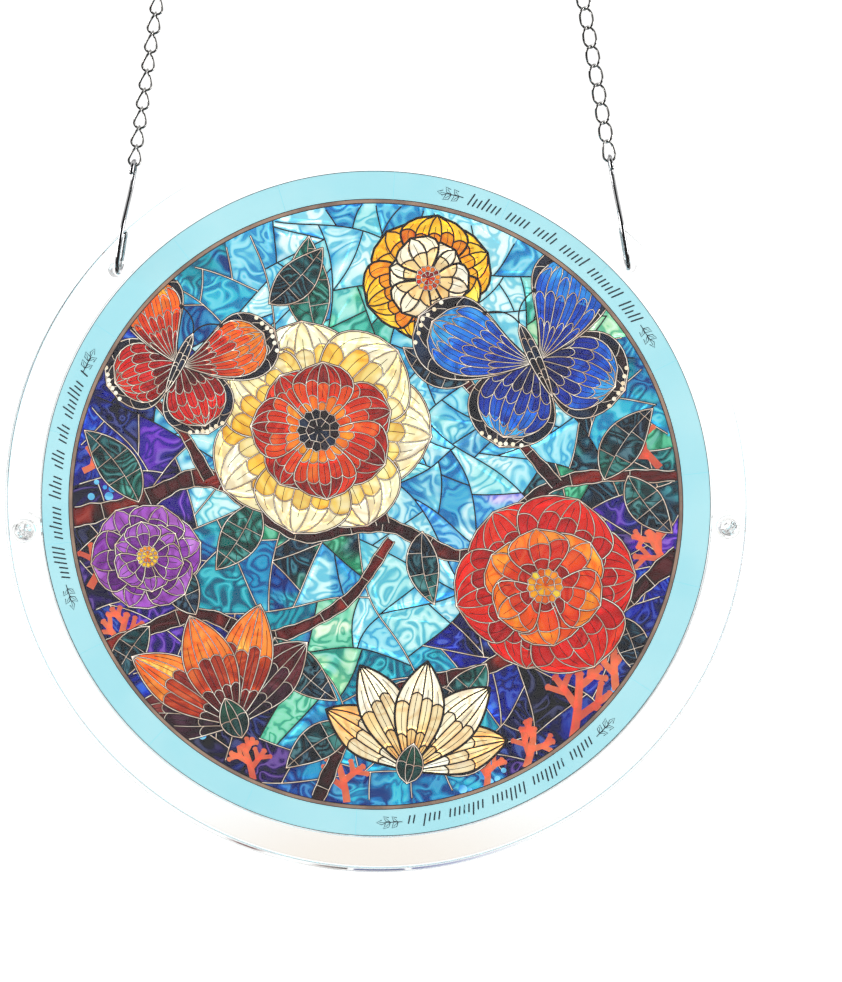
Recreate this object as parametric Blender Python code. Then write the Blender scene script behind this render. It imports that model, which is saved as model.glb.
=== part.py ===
# Acrylic puzzle suncatcher: a round printed jigsaw puzzle in a clear two-disc case that hangs on two chains.
# Metres, +Z up, the front faces -Y. The origin lies midway between the places where the two end rings hang.

import math

import bmesh
import bpy
from mathutils import Matrix, Vector

# Gap kept between two pieces that touch
TOUCH_GAP = 0.0003

# Clear case: a thin cover in front of a thicker tray with a round recess
CASE_DIAMETER = 0.188
COVER_THICKNESS = 0.0022
TRAY_THICKNESS = 0.0045
EDGE_CHAMFER = 0.0004
CASE_SEGMENTS = 60

# Printed puzzle: a hub and three rings of pieces, cut apart along knobbed seams, with a clear rim round it.
# A seam along a circle that is shorter than KNOB_ROOM_RATIO knob widths stays plain.
CLEAR_RIM = 0.0092
PUZZLE_THICKNESS = 0.0020
PUZZLE_SIDE_CLEARANCE = 0.0005
RING_NAMES = ("inner", "middle", "outer")
RING_COUNTS = (6, 12, 18)
RING_START_DEG = (16.0, 1.0, 6.0)
KNOB_RADIUS = 0.0023
KNOB_NECK = 0.0028
KNOB_REACH = 0.0047
KNOB_STEPS = 4
KNOB_ROOM_RATIO = 2.5
RIM_STEP_DEG = 7.0

# Clear plastic screws and nuts, a little below the horizontal diameter, outside the recess
SCREW_WALL = 0.0017
SCREW_DROP_DEG = 3.2
SCREW_SHANK_DIAMETER = 0.0038
SCREW_HEAD_DIAMETER = 0.0062
SCREW_HEAD_HEIGHT = 0.0019
SCREW_TAIL = 0.0008
CROSS_LENGTH = 0.0034
CROSS_WIDTH = 0.0009
CROSS_DEPTH = 0.0011
BORE_CLEARANCE = 0.0003
NUT_ACROSS_FLATS = 0.0070
NUT_THICKNESS = 0.0031

# Hanging holes, on either side of the top, outside the recess
HOLE_WALL = 0.0008
HOLE_ANGLE_DEG = 46.35
HOLE_DIAMETER = 0.0044
HOLE_SEGMENTS = 10

# S-hooks: the lower loop passes through the hole and round the rim, the upper loop holds the chain
LEAN_DEG = 9.55
HOOK_WIRE = 0.00115
HOOK_LENGTH = 0.0293
HOOK_CASE_CLEARANCE = 0.00072
HOOK_UPPER_LOOP = 0.0048
HOOK_TIP = 0.0016
HOOK_FLARE = 0.0006
HOOK_SIDES = 6

# Chains: oval wire links, each twisted along its length so that the next one crosses it squarely
LINK_COUNT = 10
LINK_LENGTH = 0.0058
LINK_WIDTH = 0.0032
LINK_WIRE = 0.0006
LINK_BITE = 0.00012
LINK_END_STEPS = 4
LINK_SIDES = 5
CHAIN_FACING_DEG = {"left": 50.0, "right": 0.0}

# Plain rings at the top of the chains
RING_DIAMETER = 0.0120
RING_WIRE = 0.0012
RING_SEGMENTS = 16
RING_SIDES = 6

CASE_THICKNESS = TRAY_THICKNESS + TOUCH_GAP + COVER_THICKNESS
CASE_FRONT = -CASE_THICKNESS / 2
COVER_BACK = CASE_FRONT + COVER_THICKNESS
TRAY_FRONT = COVER_BACK + TOUCH_GAP
CASE_BACK = CASE_THICKNESS / 2
RECESS_FLOOR = TRAY_FRONT + PUZZLE_THICKNESS + 2 * TOUCH_GAP
PUZZLE_RADIUS = CASE_DIAMETER / 2 - CLEAR_RIM
RECESS_RADIUS = PUZZLE_RADIUS + PUZZLE_SIDE_CLEARANCE
SCREW_BORE_DIAMETER = SCREW_SHANK_DIAMETER + 2 * BORE_CLEARANCE
SCREW_CIRCLE_RADIUS = RECESS_RADIUS + SCREW_WALL + SCREW_BORE_DIAMETER / 2
HOLE_CIRCLE_RADIUS = RECESS_RADIUS + HOLE_WALL + HOLE_DIAMETER / 2
SIDES = {"left": -1, "right": 1}


def clear_scene():
    for obj in list(bpy.data.objects):
        bpy.data.objects.remove(obj, do_unlink=True)


def material(name, color, roughness, metallic=0.0, transmission=0.0):
    made = bpy.data.materials.new(name)
    made.use_nodes = True
    shader = made.node_tree.nodes["Principled BSDF"]
    shader.inputs["Base Color"].default_value = (*color, 1.0)
    shader.inputs["Roughness"].default_value = roughness
    shader.inputs["Metallic"].default_value = metallic
    shader.inputs["Transmission Weight"].default_value = transmission
    made.diffuse_color = (*color, 1.0)
    return made


def add_object(name, bm, finish, parent=None):
    """One object from a closed bmesh, with its faces turned outwards."""
    bmesh.ops.recalc_face_normals(bm, faces=bm.faces)
    mesh = bpy.data.meshes.new(name)
    bm.to_mesh(mesh)
    bm.free()
    mesh.shade_smooth()
    mesh.set_sharp_from_angle(angle=math.radians(35))
    obj = bpy.data.objects.new(name, mesh)
    obj.parent = parent
    if finish:
        mesh.materials.append(finish)
    bpy.context.scene.collection.objects.link(obj)
    return obj


def add_empty(name, matrix):
    empty = bpy.data.objects.new(name, None)
    empty.matrix_world = matrix
    bpy.context.scene.collection.objects.link(empty)
    return empty


def cut(target, cutter):
    """Takes the cutter's shape out of the target."""
    cutter.hide_render = True
    cutter.display_type = "WIRE"
    boolean = target.modifiers.new(cutter.name, "BOOLEAN")
    boolean.operation = "DIFFERENCE"
    boolean.object = cutter


def turned(profile, segments, center=(0.0, 0.0), phase=0.0, bm=None):
    """A closed solid turned about an axis along Y through center, from (radius, y) points, front to back."""
    bm = bm or bmesh.new()
    loops = []
    for radius, y in profile:
        angles = [phase + 2 * math.pi * k / segments for k in range(segments)]
        loops.append(
            [
                bm.verts.new((center[0] + radius * math.cos(a), y, center[1] + radius * math.sin(a)))
                for a in angles
            ]
        )
    for front, back in zip(loops, loops[1:]):
        for k in range(segments):
            following = (k + 1) % segments
            bm.faces.new((front[k], front[following], back[following], back[k]))
    bm.faces.new(loops[0])
    bm.faces.new(loops[-1])
    return bm


def prism(outline, front, back):
    """A closed solid with an (x, z) outline, from y = front to y = back."""
    bm = bmesh.new()
    near = [bm.verts.new((x, front, z)) for x, z in outline]
    far = [bm.verts.new((x, back, z)) for x, z in outline]
    count = len(outline)
    bm.faces.new(near)
    bm.faces.new(far)
    for k in range(count):
        following = (k + 1) % count
        bm.faces.new((near[k], near[following], far[following], far[k]))
    return bm


def sweep(bm, points, flats, radius, sides, closed):
    """Round wire along the points. Each flat is a direction square to the wire's own plane there."""
    count = len(points)
    loops = []
    for k, point in enumerate(points):
        before = points[k - 1] if closed or k else point
        after = points[(k + 1) % count] if closed or k < count - 1 else point
        tangent = (after - before).normalized()
        across = tangent.cross(flats[k]).normalized()
        flat = across.cross(tangent)
        loops.append(
            [
                bm.verts.new(
                    point
                    + across * radius * math.cos(2 * math.pi * s / sides)
                    + flat * radius * math.sin(2 * math.pi * s / sides)
                )
                for s in range(sides)
            ]
        )
    pairs = list(zip(loops, loops[1:]))
    if closed:
        pairs.append((loops[-1], loops[0]))
    else:
        bm.faces.new(loops[0])
        bm.faces.new(loops[-1])
    for near, far in pairs:
        for s in range(sides):
            following = (s + 1) % sides
            bm.faces.new((near[s], near[following], far[following], far[s]))


def on_circle(radius, degrees):
    """The (x, z) point at this angle, counted from +X towards +Z."""
    return Vector((radius * math.cos(math.radians(degrees)), radius * math.sin(math.radians(degrees))))


def screw_place(side):
    place = on_circle(SCREW_CIRCLE_RADIUS, -SCREW_DROP_DEG)
    return Vector((SIDES[side] * place.x, place.y))


def hole_place(side):
    place = on_circle(HOLE_CIRCLE_RADIUS, 90.0 - HOLE_ANGLE_DEG)
    return Vector((SIDES[side] * place.x, place.y))


# Clear case


def cover_profile():
    """Chamfered round its front, and square behind, where it meets the tray."""
    radius = CASE_DIAMETER / 2
    return [(radius - EDGE_CHAMFER, CASE_FRONT), (radius, CASE_FRONT + EDGE_CHAMFER), (radius, COVER_BACK)]


def tray_profile():
    """Square in front, where it meets the cover, and chamfered round its back."""
    radius = CASE_DIAMETER / 2
    return [(radius, TRAY_FRONT), (radius, CASE_BACK - EDGE_CHAMFER), (radius - EDGE_CHAMFER, CASE_BACK)]


def case_drills():
    """The two screw bores and the two hanging holes, as one cutter's mesh."""
    bm = bmesh.new()
    past = CASE_THICKNESS
    for side in SIDES:
        for place, diameter in ((screw_place(side), SCREW_BORE_DIAMETER), (hole_place(side), HOLE_DIAMETER)):
            turned([(diameter / 2, -past), (diameter / 2, past)], HOLE_SEGMENTS, place, bm=bm)
    return bm


def make_case(case, acrylic):
    cover = add_object("front_cover", turned(cover_profile(), CASE_SEGMENTS), acrylic, case)
    cut(cover, add_object("front_cover_cuts", case_drills(), None, case))
    tray = add_object("back_tray", turned(tray_profile(), CASE_SEGMENTS), acrylic, case)
    recess = [(RECESS_RADIUS, CASE_FRONT), (RECESS_RADIUS, RECESS_FLOOR)]
    cut(tray, add_object("back_tray_cuts", turned(recess, CASE_SEGMENTS, bm=case_drills()), None, case))


# Puzzle


def ring_radii():
    """The radii that part the hub and the rings, out to the puzzle's edge. The hub is half a ring wide."""
    band = PUZZLE_RADIUS / (len(RING_COUNTS) + 0.5)
    return [band * (k + 0.5) for k in range(len(RING_COUNTS) + 1)]


def seam_angles(ring):
    """Where the radial seams of a ring stand, in degrees."""
    return [RING_START_DEG[ring] + 360.0 * k / RING_COUNTS[ring] for k in range(RING_COUNTS[ring])]


def knob(middle, along, out):
    """The points of one knob: a neck on the seam and a round head beyond it."""
    center = KNOB_REACH - KNOB_RADIUS
    points = [middle - along * KNOB_NECK / 2]
    for k in range(KNOB_STEPS + 1):
        angle = math.radians(215.0 - 250.0 * k / KNOB_STEPS)
        points.append(
            middle + along * KNOB_RADIUS * math.cos(angle) + out * (center + KNOB_RADIUS * math.sin(angle))
        )
    points.append(middle + along * KNOB_NECK / 2)
    return points


def radial_seam(ring, index):
    """From the ring's inner radius to its outer one, with a knob to one side and then to the other."""
    radii = ring_radii()
    angle = seam_angles(ring)[index % RING_COUNTS[ring]]
    start, end = on_circle(radii[ring], angle), on_circle(radii[ring + 1], angle)
    along = (end - start).normalized()
    out = Vector((-along.y, along.x)) * (-1 if index % 2 else 1)
    return [start, *knob((start + end) / 2, along, out), end]


def round_seam(ring, start_deg, end_deg, order):
    """A stretch of the circle inside a ring, counterclockwise, with a knob where it is long enough."""
    radius = ring_radii()[ring]
    start, end = on_circle(radius, start_deg), on_circle(radius, end_deg)
    if math.radians(end_deg - start_deg) * radius < KNOB_ROOM_RATIO * 2 * KNOB_RADIUS:
        return [start, end]
    middle_deg = (start_deg + end_deg) / 2
    middle = on_circle(radius, middle_deg)
    out = middle.normalized() * (-1 if order % 2 else 1)
    along = on_circle(1.0, middle_deg + 90.0)
    return [start, *knob(middle, along, out), end]


def stretches(ring):
    """The circle inside a ring, parted at every seam that meets it from either side, counterclockwise."""
    met = set(seam_angles(ring))
    if ring:
        met |= set(seam_angles(ring - 1))
    stops = sorted(angle % 360.0 for angle in met)
    pairs = zip(stops, [*stops[1:], stops[0] + 360.0])
    return [(start, end, round_seam(ring, start, end, order)) for order, (start, end) in enumerate(pairs)]


def circle_between(ring, start_deg, end_deg):
    """The seam points along the circle inside a ring, from one angle to the other."""
    points = []
    span = end_deg - start_deg
    for turn in (0.0, 360.0):
        for start, end, seam in stretches(ring):
            middle = (start + end) / 2 + turn
            if 0 < (middle - start_deg) % 720.0 < span:
                points += seam[:-1]
    points.append(on_circle(ring_radii()[ring], end_deg))
    return points


def rim_between(start_deg, end_deg):
    """The plain outer edge of the puzzle."""
    steps = max(1, math.ceil((end_deg - start_deg) / RIM_STEP_DEG))
    radius = ring_radii()[-1]
    return [on_circle(radius, start_deg + (end_deg - start_deg) * k / steps) for k in range(steps + 1)]


def shrunk(outline, by):
    """The outline with every side moved inwards, which leaves the saw's gap between neighbours."""
    moved = []
    count = len(outline)
    for k, point in enumerate(outline):
        before = (point - outline[k - 1]).normalized()
        after = (outline[(k + 1) % count] - point).normalized()
        inward_before = Vector((-before.y, before.x))
        inward_after = Vector((-after.y, after.x))
        moved.append(point + (inward_before + inward_after) * by / (1 + inward_before.dot(inward_after)))
    return moved


def piece_outline(ring, index):
    """One piece of a ring, counterclockwise from its inner corner."""
    step = 360.0 / RING_COUNTS[ring]
    start_deg = seam_angles(ring)[index]
    end_deg = start_deg + step
    last = ring == len(RING_COUNTS) - 1
    outer = rim_between(start_deg, end_deg) if last else circle_between(ring + 1, start_deg, end_deg)
    inner = circle_between(ring, start_deg, end_deg)
    up = radial_seam(ring, index)
    down = radial_seam(ring, index + 1)
    return [*up[:-1], *outer[:-1], *reversed(down[1:]), *reversed(inner[1:])]


def hub_outline():
    return [point for _, _, seam in stretches(0) for point in seam[:-1]]


def make_puzzle(case, printed):
    back = RECESS_FLOOR - TOUCH_GAP
    front = back - PUZZLE_THICKNESS
    outlines = {"puzzle_hub": hub_outline()}
    for ring, ring_name in enumerate(RING_NAMES):
        for index in range(RING_COUNTS[ring]):
            outlines[f"puzzle_{ring_name}_{index + 1:02d}"] = piece_outline(ring, index)
    for name, outline in outlines.items():
        add_object(name, prism(shrunk(outline, TOUCH_GAP / 2), front, back), printed, case)


# Screws and nuts


def cross_outline(center):
    """A plus sign, counterclockwise."""
    arm, half = CROSS_LENGTH / 2, CROSS_WIDTH / 2
    corner = [Vector((arm, -half)), Vector((arm, half)), Vector((half, half))]
    points = []
    for quarter in range(4):
        turn = Matrix.Rotation(math.pi / 2 * quarter, 2)
        points += [center + turn @ point for point in corner]
    return points


def make_screw(side, case, plastic):
    place = screw_place(side)
    seat = CASE_FRONT - TOUCH_GAP
    tail = CASE_BACK + TOUCH_GAP + NUT_THICKNESS + SCREW_TAIL
    shank = SCREW_SHANK_DIAMETER / 2
    dome = []
    for degrees in (15.0, 35.0, 60.0, 90.0):
        angle = math.radians(degrees)
        dome.append((SCREW_HEAD_DIAMETER / 2 * math.sin(angle), seat - SCREW_HEAD_HEIGHT * math.cos(angle)))
    profile = [*dome, (shank, seat), (shank, tail - EDGE_CHAMFER), (shank - EDGE_CHAMFER, tail)]
    screw = add_object(f"screw_{side}", turned(profile, HOLE_SEGMENTS, place), plastic, case)
    top = seat - SCREW_HEAD_HEIGHT
    cross = prism(cross_outline(place), top - SCREW_HEAD_HEIGHT, top + CROSS_DEPTH)
    cut(screw, add_object(f"screw_{side}_cross", cross, None, case))


def make_nut(side, case, plastic):
    place = screw_place(side)
    front = CASE_BACK + TOUCH_GAP
    corner = NUT_ACROSS_FLATS / math.sqrt(3)
    hexagon = turned([(corner, front), (corner, front + NUT_THICKNESS)], 6, place, math.pi / 6)
    nut = add_object(f"nut_{side}", hexagon, plastic, case)
    bore = SCREW_BORE_DIAMETER / 2
    drill = turned([(bore, CASE_FRONT), (bore, CASE_BACK + 3 * NUT_THICKNESS)], HOLE_SEGMENTS, place)
    cut(nut, add_object(f"nut_{side}_bore", drill, None, case))


# Hooks, chains and rings. Each run has its own frame: Z points up along the run from the hole's middle.


def rim_distance():
    """How far above the hole's middle a leaning run passes the case's rim."""
    lean = math.radians(LEAN_DEG)
    place = hole_place("left")
    along = place.x * math.sin(lean) + place.y * math.cos(lean)
    return math.sqrt(along**2 + (CASE_DIAMETER / 2) ** 2 - place.length_squared) - along


def lower_loop_radius():
    """Radius of the lower loop's middle line, which goes round the case's thickness."""
    return CASE_THICKNESS / 2 + HOOK_CASE_CLEARANCE + HOOK_WIRE / 2


def lower_loop_height():
    """The loop's middle above the hole's middle, with the upper edge of the hole resting on the wire."""
    hole_top = math.sqrt((HOLE_DIAMETER / 2) ** 2 - (HOOK_WIRE / 2) ** 2)
    reach = lower_loop_radius() - HOOK_WIRE / 2 - TOUCH_GAP
    return hole_top + math.sqrt(reach**2 - (CASE_THICKNESS / 2) ** 2)


def upper_loop_radius():
    return (HOOK_UPPER_LOOP + HOOK_WIRE) / 2


def upper_loop_height():
    lowest = lower_loop_height() - lower_loop_radius() - HOOK_WIRE / 2
    return lowest + HOOK_LENGTH - HOOK_WIRE / 2 - upper_loop_radius()


def hook_line():
    """The hook's middle line as (y, z), from the tip behind the case to the tip at the chain."""
    low, low_z = lower_loop_radius(), lower_loop_height()
    high, high_z = upper_loop_radius(), upper_loop_height()
    rim = rim_distance()
    line = [(low + HOOK_FLARE, rim), (low, (rim + low_z) / 2)]
    for degrees in range(0, 181, 30):
        angle = math.radians(degrees)
        line.append((low * math.cos(angle), low_z - low * math.sin(angle)))
    for k in range(7):
        share = k / 6
        eased = share * share * (3 - 2 * share)
        line.append((-low + (low + high) * eased, rim + (high_z - rim) * share))
    for degrees in range(30, 181, 30):
        angle = math.radians(degrees)
        line.append((high * math.cos(angle), high_z + high * math.sin(angle)))
    line.append((-high - HOOK_FLARE, high_z - HOOK_TIP))
    return line


def make_hook(side, run, steel):
    line = [Vector((0.0, y, z)) for y, z in hook_line()]
    bm = bmesh.new()
    sweep(bm, line, [Vector((1, 0, 0))] * len(line), HOOK_WIRE / 2, HOOK_SIDES, closed=False)
    add_object(f"hook_{side}", bm, steel, run)


def link_half_length():
    """From a link's middle to the middle of the wire at its end."""
    return (LINK_LENGTH - LINK_WIRE) / 2


def first_link_height():
    """The middle of the lowest link, whose end lies under the top of the hook's upper loop."""
    hook_top = upper_loop_height() + upper_loop_radius()
    return hook_top - HOOK_WIRE / 2 - TOUCH_GAP - LINK_WIRE / 2 + link_half_length()


def link_pitch():
    return 2 * link_half_length() - LINK_WIRE + LINK_BITE


def last_link_height():
    return first_link_height() + (LINK_COUNT - 1) * link_pitch()


def add_link(bm, middle, start_deg, end_deg):
    """One oval of wire whose flat side turns from start_deg at its lower end to end_deg at its upper end."""
    half, side = link_half_length(), (LINK_WIDTH - LINK_WIRE) / 2
    points, flats = [], []
    for k in range(2 * (LINK_END_STEPS + 1)):
        upper = k <= LINK_END_STEPS
        step = k if upper else k - 1
        angle = math.pi * step / LINK_END_STEPS
        across = side * math.cos(angle)
        height = side * math.sin(angle) + (half - side) * (1 if upper else -1)
        share = (height + half) / (2 * half)
        turn = math.radians(start_deg + (end_deg - start_deg) * share)
        points.append(Vector((across * math.cos(turn), across * math.sin(turn), middle + height)))
        flats.append(Vector((-math.sin(turn), math.cos(turn), 0.0)))
    sweep(bm, points, flats, LINK_WIRE / 2, LINK_SIDES, closed=True)


def make_chain(side, run, steel):
    facing = CHAIN_FACING_DEG[side]
    halves = [bmesh.new(), bmesh.new()]
    for index in range(LINK_COUNT):
        start_deg = facing - 45.0 if index else 0.0
        end_deg = facing + 45.0 if index < LINK_COUNT - 1 else 90.0
        add_link(halves[index % 2], first_link_height() + index * link_pitch(), start_deg, end_deg)
    chain = add_object(f"chain_{side}", halves[0], steel, run)
    others = add_object(f"chain_{side}_others", halves[1], None, run)
    others.hide_render = True
    others.display_type = "WIRE"
    joined = chain.modifiers.new("all links", "BOOLEAN")
    joined.operation = "UNION"
    joined.object = others


def ring_radius():
    return (RING_DIAMETER - RING_WIRE) / 2


def ring_height():
    """The ring's middle along the run, with its lowest wire under the top of the last link."""
    link_top = last_link_height() + link_half_length()
    return link_top - LINK_WIRE / 2 - TOUCH_GAP - RING_WIRE / 2 + ring_radius()


def make_ring(side, run, steel):
    points = []
    for k in range(RING_SEGMENTS):
        angle = 2 * math.pi * k / RING_SEGMENTS
        points.append(Vector((math.cos(angle), 0.0, math.sin(angle))) * ring_radius())
    bm = bmesh.new()
    sweep(bm, points, [Vector((0, 1, 0))] * RING_SEGMENTS, RING_WIRE / 2, RING_SIDES, closed=True)
    ring = add_object(f"ring_{side}", bm, steel, run)
    ring.location.z = ring_height()


def case_drop():
    """How far the case's middle hangs below the inner tops of the rings."""
    inner = ring_radius() - RING_WIRE / 2
    return hole_place("left").y + ring_height() * math.cos(math.radians(LEAN_DEG)) + inner


def make_run(side, steel, ring_steel):
    place = hole_place(side)
    at_hole = Matrix.Translation((place.x, 0.0, place.y - case_drop()))
    lean = Matrix.Rotation(math.radians(-SIDES[side] * LEAN_DEG), 4, "Y")
    run = add_empty(f"run_{side}", at_hole @ lean)
    make_hook(side, run, ring_steel)
    make_chain(side, run, steel)
    make_ring(side, run, ring_steel)


def main():
    clear_scene()
    acrylic = material("clear acrylic", (0.93, 0.97, 0.98), 0.03, transmission=1.0)
    printed = material("printed acrylic", (0.43, 0.82, 0.88), 0.25)
    plastic = material("clear plastic", (0.88, 0.90, 0.90), 0.10, transmission=1.0)
    chain_steel = material("silver chain", (0.62, 0.62, 0.62), 0.22, metallic=1.0)
    bright_steel = material("bright steel", (0.68, 0.68, 0.69), 0.15, metallic=1.0)
    case = add_empty("case", Matrix.Translation((0.0, 0.0, -case_drop())))
    make_case(case, acrylic)
    make_puzzle(case, printed)
    for side in SIDES:
        make_screw(side, case, plastic)
        make_nut(side, case, plastic)
        make_run(side, chain_steel, bright_steel)


main()
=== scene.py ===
import math
import random

import bmesh
import bpy
from mathutils import Matrix, Vector


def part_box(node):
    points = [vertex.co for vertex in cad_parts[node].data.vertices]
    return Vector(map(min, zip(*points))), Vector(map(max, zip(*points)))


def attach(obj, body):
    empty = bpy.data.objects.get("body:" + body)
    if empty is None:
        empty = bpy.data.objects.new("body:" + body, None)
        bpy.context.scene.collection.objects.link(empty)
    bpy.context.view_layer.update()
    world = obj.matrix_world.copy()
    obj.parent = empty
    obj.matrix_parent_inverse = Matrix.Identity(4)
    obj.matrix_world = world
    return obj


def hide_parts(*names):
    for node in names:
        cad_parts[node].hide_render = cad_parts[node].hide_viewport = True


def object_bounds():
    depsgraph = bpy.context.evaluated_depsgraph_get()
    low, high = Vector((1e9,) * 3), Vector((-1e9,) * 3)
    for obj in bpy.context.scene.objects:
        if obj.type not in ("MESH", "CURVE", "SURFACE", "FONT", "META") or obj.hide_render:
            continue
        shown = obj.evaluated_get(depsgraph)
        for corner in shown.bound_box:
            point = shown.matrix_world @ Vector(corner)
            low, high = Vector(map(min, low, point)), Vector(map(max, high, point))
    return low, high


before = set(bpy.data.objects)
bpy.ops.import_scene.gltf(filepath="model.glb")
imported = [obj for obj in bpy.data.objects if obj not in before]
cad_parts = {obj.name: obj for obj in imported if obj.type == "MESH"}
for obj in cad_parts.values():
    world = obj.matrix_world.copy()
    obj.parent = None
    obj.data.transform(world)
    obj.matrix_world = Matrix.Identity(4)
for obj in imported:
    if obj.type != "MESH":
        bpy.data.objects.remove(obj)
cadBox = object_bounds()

# Round acrylic suncatcher: a printed jigsaw puzzle in a clear case, hung on two chains. Metres, front
# towards -Y. The picture is worked out in millimetres, across and up from the middle of the case.

mm = 0.001
touchGap = 0.0003


# Building blocks


def addNode(tree, kind, values=None, **settings):
    # values go by a socket's name or number, and a value that is itself a socket is linked
    made = tree.nodes.new(kind)
    for name, value in settings.items():
        setattr(made, name, value)
    for socket, value in (values or {}).items():
        if isinstance(value, bpy.types.NodeSocket):
            tree.links.new(value, made.inputs[socket])
        else:
            made.inputs[socket].default_value = value
    return made


def put(tree, kind, values=None, **settings):
    return addNode(tree, kind, values, **settings).outputs[0]


def maths(tree, operation, first, second=0.5):
    return put(tree, "ShaderNodeMath", {0: first, 1: second}, operation=operation)


def remap(tree, value, fromLow, fromHigh, toLow=0.0, toHigh=1.0, kind="LINEAR"):
    ends = {"Value": value, "From Min": fromLow, "From Max": fromHigh, "To Min": toLow, "To Max": toHigh}
    return put(tree, "ShaderNodeMapRange", ends, interpolation_type=kind)


def noise(tree, place, scale, detail, distortion=0.0):
    values = {"Vector": place, "Scale": scale, "Detail": detail, "Distortion": distortion}
    return put(tree, "ShaderNodeTexNoise", values)


def blend(tree, share, first, second, kind="MIX"):
    values = {0: share, 6: first, 7: second}
    return addNode(tree, "ShaderNodeMix", values, data_type="RGBA", blend_type=kind).outputs[2]


def objectPlace(tree):
    return addNode(tree, "ShaderNodeTexCoord").outputs["Object"]


def addSockets(tree, way, sockets):
    for label, kind in sockets:
        tree.interface.new_socket(label, in_out=way, socket_type="NodeSocket" + kind)


def newTree(name, **sockets):
    # geometry comes first and needs no entry
    tree = bpy.data.node_groups.new(name, "GeometryNodeTree")
    addSockets(tree, "INPUT", [("Geometry", "Geometry"), *sockets.items()])
    addSockets(tree, "OUTPUT", [("Geometry", "Geometry")])
    return tree, addNode(tree, "NodeGroupInput").outputs


def closeTree(tree, geometry, material):
    # every tree ends in Realize Instances and Set Material
    real = put(tree, "GeometryNodeRealizeInstances", {"Geometry": geometry})
    painted = put(tree, "GeometryNodeSetMaterial", {"Geometry": real, "Material": material})
    tree.links.new(painted, addNode(tree, "NodeGroupOutput").inputs[0])
    return tree


def addObject(name, mesh):
    made = bpy.data.objects.new(name, mesh)
    bpy.context.scene.collection.objects.link(made)
    return made


def meshOf(name, points, edges=(), faces=()):
    mesh = bpy.data.meshes.new(name)
    mesh.from_pydata([tuple(p) for p in points], list(edges), list(faces))
    return mesh


def grow(obj, tree, values):
    # runs the tree on the object and keeps the result as a plain mesh
    modifier = obj.modifiers.new(tree.name, "NODES")
    modifier.node_group = tree
    for item in tree.interface.items_tree:
        if item.item_type == "SOCKET" and item.in_out == "INPUT" and item.name in values:
            modifier[item.identifier] = values[item.name]
    return freeze(obj)


def freeze(obj):
    graph = bpy.context.evaluated_depsgraph_get()
    mesh = bpy.data.meshes.new_from_object(obj.evaluated_get(graph), depsgraph=graph)
    obj.modifiers.clear()
    obj.data = mesh
    return obj


def drop(*objects):
    for obj in objects:
        bpy.data.objects.remove(obj, do_unlink=True)


def finishPiece(obj, nodes=()):
    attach(obj, "root")
    if nodes:
        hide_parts(*nodes)
    return obj


def linear(colour):
    # 0 to 255 as on a screen, to linear light
    return [((c / 255 + 0.055) / 1.055) ** 2.4 if c > 10 else c / 255 / 12.92 for c in colour]


def onCircle(radius, degrees):
    return Vector((radius * math.cos(math.radians(degrees)), radius * math.sin(math.radians(degrees))))


# Places read from the frame

coverLow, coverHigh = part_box("front_cover")
trayLow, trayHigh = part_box("back_tray")
puzzleLow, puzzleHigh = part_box("puzzle_hub")
caseRadius = (coverHigh.x - coverLow.x) / 2
caseMiddle = (coverLow + coverHigh) / 2
puzzleRadius = caseRadius - 0.0092
recessRadius = puzzleRadius + 0.0005
recessFloor = puzzleHigh.y + touchGap


# Shader groups and materials


def shaderGroup(name, inputs, outputs):
    group = bpy.data.node_groups.new(name, "ShaderNodeTree")
    addSockets(group, "INPUT", inputs)
    addSockets(group, "OUTPUT", outputs)
    return group, addNode(group, "NodeGroupInput").outputs, addNode(group, "NodeGroupOutput").inputs


def handlingWear():
    # hairline scratches and faint smears: a roughness between two values, and a height
    inputs = [(label, "Float") for label in ("Smear Scale", "Scratch Scale", "Low", "High")]
    group, given, result = shaderGroup("handlingWear", inputs, [("Roughness", "Float"), ("Height", "Float")])
    place = objectPlace(group)
    smear = noise(group, place, given["Smear Scale"], 1.0)
    stretched = put(group, "ShaderNodeMapping", {"Vector": place, "Scale": (1.0, 1.0, 0.06)})
    thin = remap(group, noise(group, stretched, given["Scratch Scale"], 0.0), 0.62, 0.72)
    both = maths(group, "MAXIMUM", smear, thin)
    group.links.new(remap(group, both, 0.4, 0.9, given["Low"], given["High"]), result["Roughness"])
    group.links.new(thin, result["Height"])
    return group


def faintSmears():
    # soft finger marks: a roughness between two values
    inputs = [(label, "Float") for label in ("Scale", "Low", "High")]
    group, given, result = shaderGroup("faintSmears", inputs, [("Roughness", "Float")])
    smear = noise(group, objectPlace(group), given["Scale"], 1.0)
    group.links.new(remap(group, smear, 0.64, 0.80, given["Low"], given["High"]), result["Roughness"])
    return group


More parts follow.
